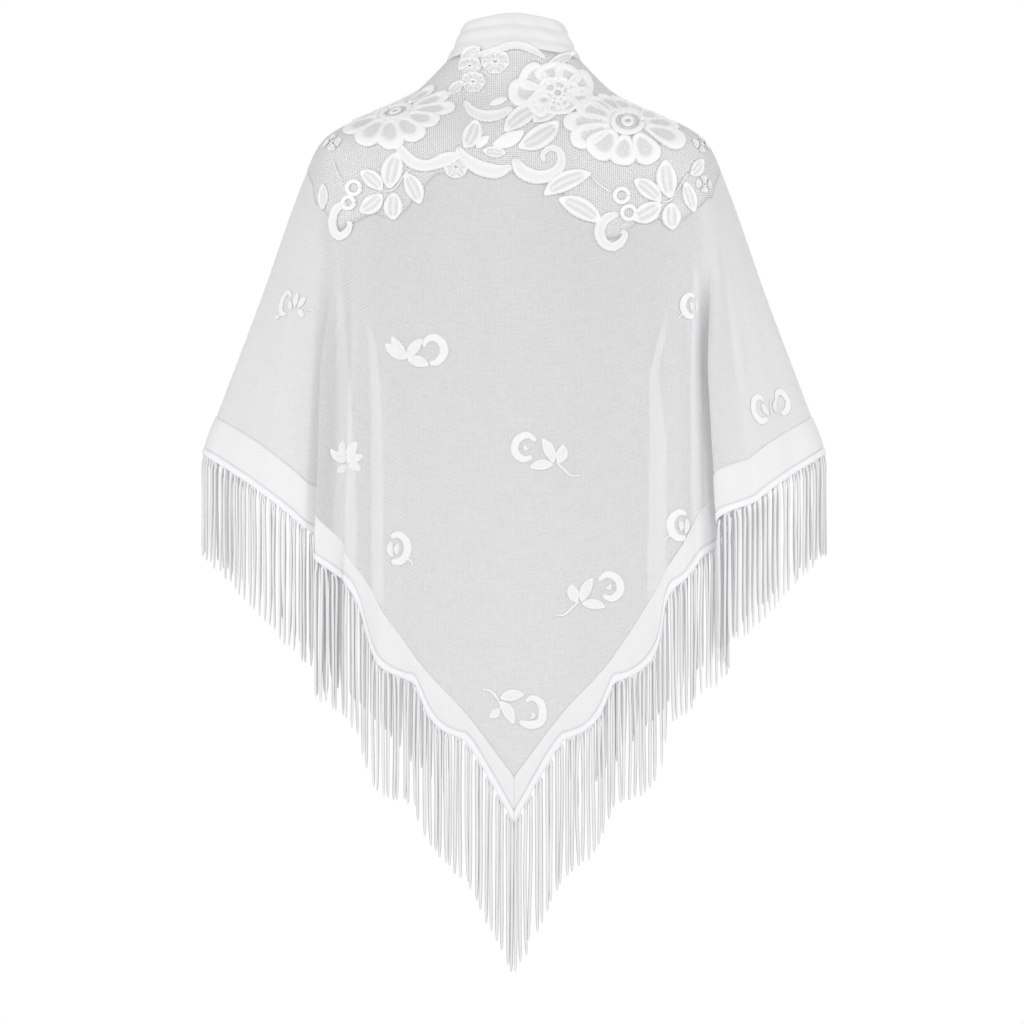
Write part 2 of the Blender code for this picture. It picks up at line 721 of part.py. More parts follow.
FLOWERS = (
    # name             x       z      radius  petals  flat
    ("daisy_left", -125.0, -57.0, 50.0, 8, 0.86),
    ("daisy_right", 118.0, -63.0, 50.0, 8, 0.86),
    ("peony", 38.0, -34.0, 34.0, 6, 0.86),
    ("blossom_nape", -46.0, -10.0, 13.0, 5, 1.0),
    ("blossom_low", -44.0, -32.0, 12.0, 5, 1.0),
    ("bud_shoulder", -186.0, -92.0, 14.0, 5, 0.8),
)
LEAVES = (
    # name                x       z      long  wide  angle  bend
    ("leaf_under_daisy", -122.0, -114.0, 46.0, 20.0, 20.0, 4.0),
    ("leaf_left_a", -153.0, -127.0, 26.0, 13.0, 60.0, 2.0),
    ("leaf_left_b", -152.0, -156.0, 28.0, 14.0, 100.0, -2.0),
    ("leaf_left_c", -130.0, -160.0, 28.0, 14.0, 70.0, 2.0),
    ("leaf_left_d", -104.0, -136.0, 26.0, 13.0, 40.0, 2.0),
    ("leaf_side_a", -198.0, -140.0, 26.0, 12.0, 70.0, 2.0),
    ("leaf_mid", 11.0, -63.0, 36.0, 15.0, 115.0, 4.0),
    ("leaf_mid_dark", 38.0, -72.0, 36.0, 16.0, 20.0, -4.0),
    ("leaf_scroll_a", -48.0, -81.0, 26.0, 12.0, 110.0, 2.0),
    ("leaf_scroll_b", -36.0, -84.0, 16.0, 9.0, 70.0, 1.0),
    ("leaf_right_a", 62.0, -134.0, 28.0, 14.0, 120.0, 3.0),
    ("leaf_right_b", 74.0, -164.0, 38.0, 15.0, 155.0, -3.0),
    ("leaf_right_c", 134.0, -133.0, 24.0, 13.0, 100.0, 2.0),
    ("leaf_right_d", 165.0, -121.0, 40.0, 19.0, 62.0, 3.0),
    ("leaf_right_e", 141.0, -164.0, 28.0, 14.0, 80.0, 2.0),
    ("leaf_right_f", 166.0, -163.0, 28.0, 14.0, 95.0, 2.0),
    ("leaf_right_g", 185.0, -142.0, 30.0, 13.0, 110.0, 2.0),
)
SCROLLS = (
    # name                x       z      radius start  sweep  wide  flat
    ("crescent_nape", -25.0, -55.0, 14.0, 60.0, 190.0, 9.0, 1.0),
    ("scroll_wavy_a", -90.0, -99.0, 15.0, 150.0, -150.0, 7.0, 0.7),
    ("scroll_wavy_b", -72.0, -112.0, 18.0, 170.0, 160.0, 8.0, 0.8),
    ("scroll_centre", -19.0, -113.0, 24.0, 80.0, 230.0, 12.0, 0.8),
    ("scroll_c", 24.0, -110.0, 19.0, 130.0, -260.0, 8.0, 0.75),
    ("loop_left", -184.0, -176.0, 12.0, 30.0, 250.0, 6.0, 0.9),
    ("loop_right", 102.0, -182.0, 14.0, 150.0, -250.0, 6.0, 0.9),
)
RINGS = (
    # name            x       z      radius  wide
    ("ring_left_a", -172.0, -131.0, 6.5, 4.5),
    ("ring_left_b", -174.0, -149.0, 6.0, 4.5),
    ("ring_right_a", 112.0, -146.0, 6.5, 4.5),
    ("ring_right_b", 122.5, -166.0, 5.5, 4.0),
)


def make_lace():
    tree = cloth_tree()
    for row in FLOWERS:
        flower(tree, *row)
    for row in LEAVES:
        leaf(tree, *row)
    for row in SCROLLS:
        scroll(tree, *row)
    for row in RINGS:
        ring(tree, *row)


def build():
    clear_scene()
    make_yoke()
    make_panels()
    for name, stations, edge in make_hem_bands():
        make_fringe(name.replace("hem_band", "fringe"), stations, edge)
    make_neck_band()
    make_lace()


build()
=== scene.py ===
import math

import bpy
import numpy as np
from mathutils.kdtree import KDTree
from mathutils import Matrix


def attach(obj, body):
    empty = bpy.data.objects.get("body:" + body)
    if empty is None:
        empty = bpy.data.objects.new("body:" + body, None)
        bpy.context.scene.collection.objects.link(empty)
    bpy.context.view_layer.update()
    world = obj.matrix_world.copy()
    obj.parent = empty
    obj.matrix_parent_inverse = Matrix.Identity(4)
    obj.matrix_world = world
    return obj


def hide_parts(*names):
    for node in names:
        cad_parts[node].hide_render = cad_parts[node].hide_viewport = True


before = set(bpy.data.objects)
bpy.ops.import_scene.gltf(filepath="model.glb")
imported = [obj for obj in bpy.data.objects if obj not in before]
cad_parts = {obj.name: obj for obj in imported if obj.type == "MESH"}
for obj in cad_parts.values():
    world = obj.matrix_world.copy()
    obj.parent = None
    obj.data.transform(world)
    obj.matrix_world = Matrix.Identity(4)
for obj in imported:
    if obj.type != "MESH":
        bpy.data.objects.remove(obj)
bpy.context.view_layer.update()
bpy.ops.object.select_all(action="DESELECT")

# The sheer panel. One triangle of fine cotton voile, worn with its long edge round the neck and
# its point down the back. It is laid over the worn form and pleated where its wings are raised, and
# its top edge is tucked under the lace.
# One row for each fall line of a half, from the middle of the back round to the front edge:
# station, angle round the neck, neck seam z, shoulder turn x y z, hem x y z,
# depth of the lace yoke, drop of the hem band and length of the fringe.
FALL = np.array([
    (0.000,   0.0,  0.012,  0.0000, -0.112, -0.088,  0.000, -0.128, -0.798,  0.150, 0.048, 0.155),
    (0.115,  15.0,  0.011,  0.0470, -0.113, -0.088,  0.050, -0.128, -0.714,  0.165, 0.030, 0.140),
    (0.235,  30.0,  0.009,  0.0970, -0.111, -0.087,  0.103, -0.128, -0.655,  0.205, 0.030, 0.122),
    (0.345,  45.0,  0.007,  0.1460, -0.103, -0.087,  0.166, -0.124, -0.558,  0.238, 0.031, 0.131),
    (0.460,  60.0,  0.005,  0.1860, -0.078, -0.085,  0.208, -0.116, -0.502,  0.234, 0.048, 0.136),
    (0.560,  74.0,  0.002,  0.1955, -0.040, -0.080,  0.268, -0.086, -0.452,  0.206, 0.046, 0.122),
    (0.660,  88.0,  0.000,  0.1970,  0.005, -0.078,  0.330,  0.000, -0.413,  0.186, 0.042, 0.100),
    (0.750, 100.0, -0.006,  0.1900,  0.045, -0.086,  0.292,  0.080, -0.432,  0.176, 0.045, 0.112),
    (0.840, 110.0, -0.013,  0.1630,  0.080, -0.103,  0.222,  0.120, -0.492,  0.166, 0.048, 0.124),
    (0.920, 119.0, -0.021,  0.1150,  0.102, -0.125,  0.145,  0.133, -0.566,  0.156, 0.049, 0.132),
    (1.000, 128.0, -0.030,  0.0580,  0.106, -0.140,  0.060,  0.134, -0.655,  0.150, 0.050, 0.140),
])
NECK_HALF_WIDTH = 0.072
NECK_BACK = 0.062
NECK_FRONT = 0.070
NECK_DIP = 0.0115
NECK_DIP_AT = 0.30
TURN_SWELL = 0.008
TURN_AT = 0.13
HANG_SWELL = 0.003
HANG_AT = 0.52
# Scallops of the hem of a half: station and drop below the line of the cusps.
SCALLOPS = np.array((
    (0.115, 0.0000), (0.139, 0.0075), (0.163, 0.0140), (0.187, 0.0168), (0.208, 0.0148), (0.223, 0.0070),
    (0.235, 0.0000), (0.252, 0.0075), (0.273, 0.0210), (0.292, 0.0315), (0.308, 0.0345), (0.320, 0.0255),
    (0.331, 0.0080), (0.345, 0.0000), (0.375, 0.0050), (0.405, 0.0075), (0.440, 0.0040), (0.480, 0.0000),
))
# Lapped folds and soft ridges: side, station, half width, move along, height, start and full.
LAPS = (
    (-1.0, 0.427, 0.056, 0.0225, 0.0250, 0.235, 0.420),
    (1.0, 0.479, 0.056, 0.0225, -0.0250, 0.235, 0.420),
)
RIDGES = (
    (-1.0, 0.350, 0.034, 0.0050, 0.0080, 0.250, 0.480),
    (-1.0, 0.285, 0.030, 0.0035, 0.0060, 0.300, 0.500),
    (1.0, 0.345, 0.036, -0.0040, 0.0070, 0.280, 0.480),
    (-1.0, 0.800, 0.050, 0.0040, 0.0080, 0.240, 0.450),
    (1.0, 0.800, 0.050, 0.0040, 0.0080, 0.240, 0.450),
)
# Soft creases placed one by one: station, half width, height, drift for each metre down, start, full.
CREASES = (
    (-0.560, 0.020, 0.0016, 0.10, 0.240, 0.400),
    (-0.620, 0.026, -0.0020, 0.06, 0.220, 0.420),
    (-0.515, 0.016, 0.0014, -0.05, 0.330, 0.460),
    (-0.235, 0.030, 0.0016, 0.05, 0.300, 0.560),
    (-0.150, 0.026, -0.0012, 0.04, 0.380, 0.600),
    (-0.040, 0.034, 0.0010, 0.03, 0.420, 0.700),
    (0.090, 0.030, 0.0012, -0.04, 0.360, 0.620),
    (0.180, 0.024, -0.0012, -0.06, 0.330, 0.560),
    (0.262, 0.022, 0.0018, -0.05, 0.280, 0.460),
    (0.405, 0.014, 0.0016, 0.05, 0.260, 0.400),
    (0.545, 0.018, 0.0018, -0.08, 0.250, 0.420),
    (0.610, 0.024, -0.0022, -0.10, 0.230, 0.420),
    (-0.720, 0.024, 0.0030, 0.04, 0.200, 0.380),
    (-0.870, 0.026, 0.0034, -0.03, 0.220, 0.420),
    (-0.940, 0.018, -0.0020, 0.02, 0.260, 0.460),
    (0.715, 0.024, 0.0028, -0.04, 0.210, 0.400),
    (0.865, 0.026, 0.0032, 0.03, 0.230, 0.430),
    (0.935, 0.018, -0.0020, -0.02, 0.260, 0.470),
)
VOILE_THREAD = 2.4
VOILE_WALL = 0.0005
VOILE_TUCK = 0.007
VOILE_WHITE = "#ECECED"
VOILE_SHADE = "#DFDFE1"
# The whiter colour of the crossed dots; on the strips beside the pleats and on the wings it is painted light.
VOILE_WHITER = "#FCFCFD"
VOILE_BETWEEN = "#D4D4D6"


def through_rows(stations, values, at):
    """Values on a smooth curve through the rows of a table."""
    slope = np.empty_like(values)
    slope[1:-1] = (values[2:] - values[:-2]) / (stations[2:] - stations[:-2])[:, None]
    slope[0] = (values[1] - values[0]) / (stations[1] - stations[0])
    slope[-1] = (values[-1] - values[-2]) / (stations[-1] - stations[-2])
    k = np.clip(np.searchsorted(stations, at) - 1, 0, len(stations) - 2)
    span = (stations[k + 1] - stations[k])[:, None]
    f = (at - stations[k])[:, None] / span
    f2 = f * f
    f3 = f2 * f
    return ((2 * f3 - 3 * f2 + 1) * values[k] + (f3 - 2 * f2 + f) * span * slope[k]
            + (3 * f2 - 2 * f3) * values[k + 1] + (f3 - f2) * span * slope[k + 1])


def ease(low, high, value):
    """0 below low, 1 above high, smooth between."""
    f = np.clip((value - low) / (high - low), 0.0, 1.0)
    return f * f * (3 - 2 * f)


def unit(vectors):
    return vectors / np.linalg.norm(vectors, axis=-1, keepdims=True)


ACROSS = np.linspace(-1.0, 1.0, 1601)
DOWN = np.arange(-0.0225, 0.905, 0.0025)
NECK_LEAN = 0.44
FALL_ROWS = through_rows(FALL[:, 0], FALL[:, 1:], np.abs(ACROSS))
form = np.empty((len(ACROSS), len(DOWN), 3))
lengths = np.empty(len(ACROSS))
hem_drops = through_rows(SCALLOPS[:, 0], SCALLOPS[:, 1:], ACROSS[800:])[:, 0]
scalloped = (ACROSS[800:] > SCALLOPS[0, 0]) & (ACROSS[800:] < SCALLOPS[-1, 0])
hem_drops = np.where(scalloped, np.maximum(hem_drops, 0.0), 0.0)
for i, row in enumerate(FALL_ROWS):
    angle = math.radians(row[0])
    depth = NECK_BACK if angle < math.pi / 2 else NECK_FRONT
    neck = np.array((NECK_HALF_WIDTH * math.sin(angle), -depth * math.cos(angle), row[1]))
    turn = row[2:5]
    hem = row[5:8]
    out = unit(np.array((turn[0], turn[1], 0.0)))
    dip = neck + NECK_DIP_AT * (turn - neck) - np.array((0.0, 0.0, NECK_DIP))
    below = turn + TURN_AT * (hem - turn) + TURN_SWELL * out
    hang = turn + HANG_AT * (hem - turn) + HANG_SWELL * out
    points = np.array((neck, dip, turn, below, hang, hem))
    points[:, 0] *= -1.0 if ACROSS[i] < 0 else 1.0
    marks = np.concatenate(((0.0,), np.cumsum(np.linalg.norm(np.diff(points, axis=0), axis=1))))
    # Above the seam the form goes on up the standing neck band.
    inward = -points[0, :2] / np.linalg.norm(points[0, :2])
    standing = unit(np.array((NECK_LEAN * inward[0], NECK_LEAN * inward[1], 1.0)))
    form[i] = through_rows(marks, points, np.maximum(DOWN, 0.0)) - np.minimum(DOWN, 0.0)[:, None] * standing
    lengths[i] = marks[-1]

along = unit(np.gradient(form, axis=0))
outwards = unit(np.cross(unit(np.gradient(form, axis=1)), along))
shift = np.zeros(form.shape[:2])
rise = np.zeros(form.shape[:2])
for side, at, half, lap, height, start, full in LAPS:
    q = (side * ACROSS[:, None] - at) / half
    grown = ease(start, full, DOWN)[None, :] * np.where(np.abs(q) < 1, 1 - q ** 4, 0.0)
    shift -= side * lap * grown * np.sin(math.pi * q)
    rise -= 0.44 * height * grown * (np.sin(math.pi * q) - 0.35 * np.sin(2 * math.pi * q))
for side, at, half, lean, height, start, full in RIDGES:
    q = (side * ACROSS[:, None] - at) / half
    swell = np.where(np.abs(q) < 1, 0.5 + 0.5 * np.cos(math.pi * q), 0.0) * ease(start, full, DOWN)[None, :]
    shift += side * lean * swell
    rise += height * swell
for at, half, height, drift, start, full in CREASES:
    q = (ACROSS[:, None] - at - drift * (DOWN[None, :] - full)) / half
    swell = np.where(np.abs(q) < 1, 0.5 + 0.5 * np.cos(math.pi * q), 0.0) * ease(start, full, DOWN)[None, :]
    rise += height * swell * (0.8 + 0.2 * np.sin(31.0 * DOWN[None, :] + 40.0 * at))
form = form + along * shift[..., None] + outwards * rise[..., None]
outwards = unit(np.cross(np.gradient(form, axis=1), np.gradient(form, axis=0)))
run = np.concatenate((np.zeros((1, len(DOWN))), np.cumsum(np.linalg.norm(np.diff(form, axis=0), axis=2), axis=0)))
run -= run[len(ACROSS) // 2][None, :]


def spot(u, s):
    """Point on the outside of the worn cloth, its outward direction and its run from the middle."""
    a = np.clip((u - ACROSS[0]) / (ACROSS[1] - ACROSS[0]), 0, len(ACROSS) - 1.001)
    b = np.clip((s - DOWN[0]) / (DOWN[1] - DOWN[0]), 0, len(DOWN) - 1.001)
    i = a.astype(int)
    j = b.astype(int)
    f = a - i
    g = b - j

    def between(grid):
        f_, g_ = (f[:, None], g[:, None]) if grid.ndim == 3 else (f, g)
        return ((1 - f_) * ((1 - g_) * grid[i, j] + g_ * grid[i, j + 1])
                + f_ * ((1 - g_) * grid[i + 1, j] + g_ * grid[i + 1, j + 1]))

    return between(form), unit(between(outwards)), between(run)


def fall_column(u, column):
    return np.interp(np.abs(u), np.abs(ACROSS[800:]), FALL_ROWS[800:, column])


def hem_end(u):
    """Distance from the neck seam to the scalloped hem."""
    return np.interp(u, ACROSS, lengths) + np.interp(np.abs(u), np.abs(ACROSS[800:]), hem_drops)


def band_start(u):
    return np.interp(u, ACROSS, lengths) - fall_column(u, 9)


# Where the lace ends on the back, as it is seen, x and z in millimetres.
LACE_END = (
    (-205.8, -152.2), (-181.7, -180.6), (-160.0, -170.0), (-146.0, -164.0), (-128.0, -170.0), (-112.0, -160.0),
    (-98.7, -140.2), (-80.0, -122.0), (-62.0, -123.9), (-40.0, -120.0), (-19.9, -122.0), (6.3, -122.0),
    (24.0, -128.0), (44.0, -138.0), (64.0, -156.2), (80.0, -172.0), (95.5, -192.0), (112.0, -188.0),
    (132.3, -168.9), (150.0, -170.0), (174.3, -172.1), (190.0, -160.0), (204.0, -146.0),
)
facing = (outwards[..., 1] < -0.12) & (np.abs(ACROSS)[:, None] < 0.72)
# Of cloth that lies in layers only the outermost shows: cells 3 mm wide keep their hindmost depth.
cell_x = np.rint(form[..., 0] / 0.003).astype(int) + 200
cell_z = np.rint(form[..., 2] / 0.003).astype(int) + 400
hindmost = np.full((400, 500), 9.0)
np.minimum.at(hindmost, (cell_x, cell_z), form[..., 1])
facing &= form[..., 1] < hindmost[cell_x, cell_z] + 0.006
seen_places = np.argwhere(facing)
seen_tree = KDTree(len(seen_places))
for k, (i, j) in enumerate(seen_places):
    x, _, z = form[i, j]
    seen_tree.insert((x, 0.0, z), k)
seen_tree.balance()


def seen(x_mm, z_mm):
    """Station and distance down of the points of the back that show at x and z."""
    x = 0.001 * np.asarray(x_mm, float)
    z = 0.001 * np.asarray(z_mm, float)
    near = seen_places[[seen_tree.find((a, 0.0, b))[1] for a, b in zip(x, z)]]
    u = ACROSS[near[:, 0]]
    s = DOWN[near[:, 1]]
    # From the nearest place of the grid the rest of the way is stepped along the cloth.
    for _ in range(5):
        here = spot(u, s)[0]
        by_u = (spot(u + 0.0015, s)[0] - spot(u - 0.0015, s)[0]) / 0.003
        by_s = (spot(u, s + 0.0015)[0] - spot(u, s - 0.0015)[0]) / 0.003
        size = by_u[:, 0] * by_s[:, 2] - by_s[:, 0] * by_u[:, 2]
        plain = np.abs(size) > 0.12 * np.linalg.norm(by_u, axis=1) * np.linalg.norm(by_s, axis=1)
        size = np.where(plain, size, 1.0)
        miss_x = np.where(plain, x - here[:, 0], 0.0)
        miss_z = np.where(plain, z - here[:, 2], 0.0)
        u = u + np.clip((miss_x * by_s[:, 2] - miss_z * by_s[:, 0]) / size, -0.003, 0.003)
        s = s + np.clip((miss_z * by_u[:, 0] - miss_x * by_u[:, 2]) / size, -0.003, 0.003)
    return u, s


end_u, end_s = seen(*np.array(LACE_END).T)
order = np.argsort(end_u)
end_u = end_u[order]
end_s = end_s[order]


def lace_end(u):
    """Distance from the neck seam to the lower edge of the lace."""
    plain = fall_column(u, 8)
    drawn = np.interp(u, end_u, end_s)
    share = ease(end_u[0] - 0.05, end_u[0], u) * ease(-end_u[-1] - 0.05, -end_u[-1], -u)
    return plain + (drawn - plain) * share


def close_columns(low, high, steps):
    """Stations between two, closer where the cloth is folded."""
    fine = np.linspace(low, high, 2001)
    need = np.ones(len(fine))
    for folds in (LAPS, RIDGES):
        for fold in folds:
            reach = np.abs(fine - fold[0] * fold[1]) / (1.25 * fold[2])
            need = np.where(reach < 1, np.maximum(need, 2.6 if folds is LAPS else 1.5), need)
    cost = np.concatenate(((0.0,), np.cumsum(0.5 * (need[1:] + need[:-1]))))
    return np.interp(np.linspace(0.0, cost[-1], steps + 1), cost, fine)


def lay_cloth(name, columns, rows, down, stand, wall):
    """A flat grid of cloth, laid over the worn form by its columns and rows, then given its wall."""
    across = len(columns) - 1
    deep = len(rows) - 1
    bpy.ops.mesh.primitive_grid_add(x_subdivisions=across, y_subdivisions=deep, size=2.0)
    cloth = bpy.context.object
    cloth.name = name
    cloth.data.name = name
    flat = np.empty(3 * len(cloth.data.vertices), np.float32)
    cloth.data.vertices.foreach_get("co", flat)
    flat = flat.reshape(-1, 3)
    u = columns[np.rint((flat[:, 0] + 1) / 2 * across).astype(int)]
    row = rows[np.rint((1 - flat[:, 1]) / 2 * deep).astype(int)]
    s = down(u, row)
    point, out, gone = spot(u, s)
    placed = point + out * stand(u, s, row)[:, None]
    cloth.data.vertices.foreach_set("co", placed.astype(np.float32).ravel())
    corners = np.empty(len(cloth.data.loops), np.int32)
    cloth.data.loops.foreach_get("vertex_index", corners)
    uv = np.stack((gone, -s), axis=1)[corners]
    cloth.data.uv_layers.active.data.foreach_set("uv", uv.astype(np.float32).ravel())
    thick = cloth.modifiers.new("Wall", "SOLIDIFY")
    thick.thickness = wall
    thick.offset = -1.0
    return cloth, placed, u, s


def settle(cloth):
    """Applies what a piece is finished with and smooths its shading."""
    bpy.ops.object.select_all(action="DESELECT")
    cloth.select_set(True)
    bpy.context.view_layer.objects.active = cloth
    for modifier in list(cloth.modifiers):
        bpy.ops.object.modifier_apply(modifier=modifier.name)
    bpy.ops.object.shade_smooth()


def hand_over(piece, finish, slot, *nodes):
    piece.data.materials.clear()
    piece.data.materials.append(finish)
    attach(piece, "root")
    if nodes:
        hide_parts(*nodes)


def colour(code):
    """sRGB hex to linear."""
    parts = [int(code[i:i + 2], 16) / 255 for i in (1, 3, 5)]
    return tuple(p / 12.92 if p < 0.04045 else ((p + 0.055) / 1.055) ** 2.4 for p in parts) + (1.0,)


def add(tree, kind, sockets=None, **settings):
    """Adds a node with its settings, and a value or a link for each socket named."""
    made = tree.nodes.new(kind)
    for name, value in settings.items():
        setattr(made, name, value)
    for name, value in (sockets or {}).items():
        if isinstance(value, bpy.types.NodeSocket):
            tree.links.new(value, made.inputs[name])
        else:
            made.inputs[name].default_value = value
    return made


def new_finish(name):
    finish = bpy.data.materials.new(name)
    finish.use_nodes = True
    tree = finish.node_tree
    return finish, tree, tree.nodes["Principled BSDF"]


# Cotton voile, plain woven of fine twisted threads: dull, a little see-through, with a fine even
# grid. Its threads are about 0.3 mm apart and are drawn 2.4 mm apart so that they show.
voile_finish, tree, shader = new_finish("cotton_voile_plain_woven")
place = add(tree, "ShaderNodeTexCoord").outputs["UV"]
wave_scale = 2 * math.pi / 20 / (VOILE_THREAD / 1000)
warp = add(tree, "ShaderNodeTexWave", {"Vector": place, "Scale": wave_scale, "Distortion": 0.6, "Detail": 1.0,
                                       "Detail Scale": 0.6}, bands_direction="X").outputs["Fac"]
weft = add(tree, "ShaderNodeTexWave", {"Vector": place, "Scale": wave_scale * 0.93, "Distortion": 0.6,
                                       "Detail": 1.0, "Detail Scale": 0.6}, bands_direction="Y").outputs["Fac"]
threads = add(tree, "ShaderNodeMath", {0: warp, 1: weft}, operation="MULTIPLY").outputs[0]
grain = add(tree, "ShaderNodeTexNoise", {"Vector": place, "Scale": 420.0, "Detail": 2.0}).outputs["Fac"]
long_warp = add(tree, "ShaderNodeMapping", {"Vector": place, "Scale": (420.0, 60.0, 1.0)}).outputs[0]
warp_slubs = add(tree, "ShaderNodeTexNoise", {"Vector": long_warp, "Scale": 1.0, "Detail": 2.0}).outputs["Fac"]
long_weft = add(tree, "ShaderNodeMapping", {"Vector": place, "Scale": (50.0, 380.0, 1.0)}).outputs[0]
weft_slubs = add(tree, "ShaderNodeTexNoise", {"Vector": long_weft, "Scale": 1.0, "Detail": 2.0}).outputs["Fac"]
clouds = add(tree, "ShaderNodeTexNoise", {"Vector": place, "Scale": 9.0, "Detail": 2.0}).outputs["Fac"]
slubs = add(tree, "ShaderNodeMath", {0: warp_slubs, 1: weft_slubs}, operation="ADD").outputs[0]
even = add(tree, "ShaderNodeMath", {0: threads, 1: 0.35, 2: grain}, operation="MULTIPLY_ADD").outputs[0]
mixed = add(tree, "ShaderNodeMath", {0: slubs, 1: 0.6, 2: even}, operation="MULTIPLY_ADD").outputs[0]
level = add(tree, "ShaderNodeMapRange", {"Value": mixed, "From Min": 0.85, "From Max": 1.5}).outputs["Result"]
woven = add(tree, "ShaderNodeMix", {"Factor": level, 6: colour(VOILE_SHADE), 7: colour(VOILE_WHITE)},
            data_type="RGBA").outputs[2]
cloudy = add(tree, "ShaderNodeMapRange", {"Value": clouds, "From Min": 0.3, "From Max": 0.7, "To Min": 0.0,
                                          "To Max": 0.22}).outputs["Result"]
uneven = add(tree, "ShaderNodeMix", {"Factor": cloudy, 6: woven, 7: colour(VOILE_SHADE)},
             data_type="RGBA").outputs[2]
# Where two layers lie over each other their threads cross into slanting rows of fine dots.
crossed = add(tree, "ShaderNodeMapping", {"Vector": place, "Rotation": (0.0, 0.0, 0.86)}).outputs[0]
dots_a = add(tree, "ShaderNodeTexWave", {"Vector": crossed, "Scale": 2 * math.pi / 20 / 0.0029, "Distortion": 0.8},
             bands_direction="X").outputs["Fac"]
dots_b = add(tree, "ShaderNodeTexWave", {"Vector": crossed, "Scale": 2 * math.pi / 20 / 0.0026, "Distortion": 0.8},
             bands_direction="Y").outputs["Fac"]
dots = add(tree, "ShaderNodeMath", {0: dots_a, 1: dots_b}, operation="MULTIPLY").outputs[0]
layered = add(tree, "ShaderNodeAttribute", attribute_name="layered").outputs["Fac"]
dotted = add(tree, "ShaderNodeMath", {0: dots, 1: layered}, operation="MULTIPLY").outputs[0]
between = add(tree, "ShaderNodeMath", {0: layered, 1: dotted}, operation="SUBTRACT").outputs[0]
shaded = add(tree, "ShaderNodeMath", {0: between, 1: 0.45}, operation="MULTIPLY").outputs[0]
uneven = add(tree, "ShaderNodeMix", {"Factor": shaded, 6: uneven, 7: colour(VOILE_BETWEEN)},
             data_type="RGBA").outputs[2]
uneven = add(tree, "ShaderNodeMix", {"Factor": dotted, 6: uneven, 7: colour(VOILE_WHITER)},
             data_type="RGBA").outputs[2]
# Painted light: the strips beside the pleats and the wings are mixed towards white here, partly for doubled cloth,
# partly as painted highlight and painted light over shade.
doubled_and_painted_light = add(tree, "ShaderNodeAttribute", attribute_name="doubled_and_painted_light").outputs["Fac"]
whiter = add(tree, "ShaderNodeMix", {"Factor": doubled_and_painted_light, 6: uneven, 7: colour(VOILE_WHITER)},
             data_type="RGBA").outputs[2]
relief = add(tree, "ShaderNodeBump", {"Height": mixed, "Strength": 0.22, "Distance": 0.0004}).outputs[0]
tree.links.new(whiter, shader.inputs["Base Color"])
tree.links.new(relief, shader.inputs["Normal"])
shader.inputs["Roughness"].default_value = 0.82
shader.inputs["Sheen Weight"].default_value = 0.34
# It is a little see-through between its threads, and so thin that light passes to what lies below.
opaque = add(tree, "ShaderNodeMapRange", {"Value": level, "To Min": 0.91, "To Max": 0.95}).outputs["Result"]
shadow = add(tree, "ShaderNodeLightPath").outputs["Is Shadow Ray"]
passing = add(tree, "ShaderNodeMath", {0: shadow, 1: -0.33, 2: opaque}, operation="MULTIPLY_ADD").outputs[0]
tree.links.new(passing, shader.inputs["Alpha"])
shader.inputs["Subsurface Weight"].default_value = 0.4
shader.inputs["Subsurface Radius"].default_value = (1.0, 1.0, 1.0)
shader.inputs["Subsurface Scale"].default_value = 0.006

# Strips beside the pleats painted whiter, partly for doubled cloth and partly as painted highlight where
# the folds turn to the light; the last, by the right lap, is painted light laid over the shade there.
# As they are seen: z, left x and right x in millimetres.
WHITER_STRIPS = (
    ((-215.0, -184.0, -181.5), (-260.0, -185.0, -177.0), (-330.0, -184.5, -172.0), (-430.0, -186.5, -165.0),
     (-520.0, -189.5, -164.0), (-560.0, -190.0, -163.0)),
    ((-255.0, -160.0, -157.0), (-300.0, -151.0, -144.0), (-345.0, -149.0, -139.0), (-420.0, -148.5, -137.0),
     (-570.0, -148.0, -136.0)),
    ((-250.0, 162.0, 165.0), (-330.0, 141.0, 150.0), (-400.0, 141.0, 159.0), (-570.0, 139.0, 158.0)),
    ((-190.0, 189.0, 192.0), (-260.0, 186.0, 194.0), (-330.0, 184.0, 195.0), (-520.0, 184.0, 195.0)),
    ((-255.0, 197.0, 199.0), (-300.0, 198.0, 210.0), (-420.0, 199.0, 213.0), (-520.0, 200.0, 214.0)),
)
# The parts where the layer below shows through as rows of dots.
LAYERED = (
    ((-200.0, -190.0, -150.0), (-260.0, -178.0, -150.0), (-330.0, -170.0, -140.0)),
    ((-360.0, -136.0, -124.0), (-430.0, -137.0, -110.0), (-560.0, -136.0, -108.0), (-630.0, -132.0, -112.0)),
    ((-200.0, 160.0, 196.0), (-300.0, 163.0, 182.0), (-420.0, 162.0, 182.0)),
)
WHITER_STRIPS_EDGE = 1.3
WHITER_STRIPS_FADE = 55.0
LAYERED_EDGE = 9.0
LAYERED_FADE = 40.0
WHITER_STRIPS_STAND = 0.0005
# The wings are painted whiter than the back: painted light, standing in for the brighter light on them; on the
# right it comes on sooner, as painted light over the shade beside the lap. The stations between which this comes
# on, left and right.
WING_LEFT = (0.455, 0.500)
WING_RIGHT = (0.425, 0.470)


def share_within(strips, u, s, edge, fade):
    """How far a point of the back lies within strips given as they are seen."""
    point, out, _ = spot(u, s)
    x = 1000 * point[:, 0]
    z = 1000 * point[:, 2]
    share = np.zeros(len(u))
    for rows in strips:
        marks = np.array(rows)
        left = np.interp(-z, -marks[:, 0], marks[:, 1])
        right = np.interp(-z, -marks[:, 0], marks[:, 2])
        inside = ease(-edge, edge, x - left) * ease(-edge, edge, right - x) * (out[:, 1] < 0)
        inside = inside * ease(-marks[0, 0], fade - marks[0, 0], -z)
        inside = inside * ease(marks[-1, 0] - 20, marks[-1, 0] + 20, z)
        share = np.maximum(share, inside)
    return share


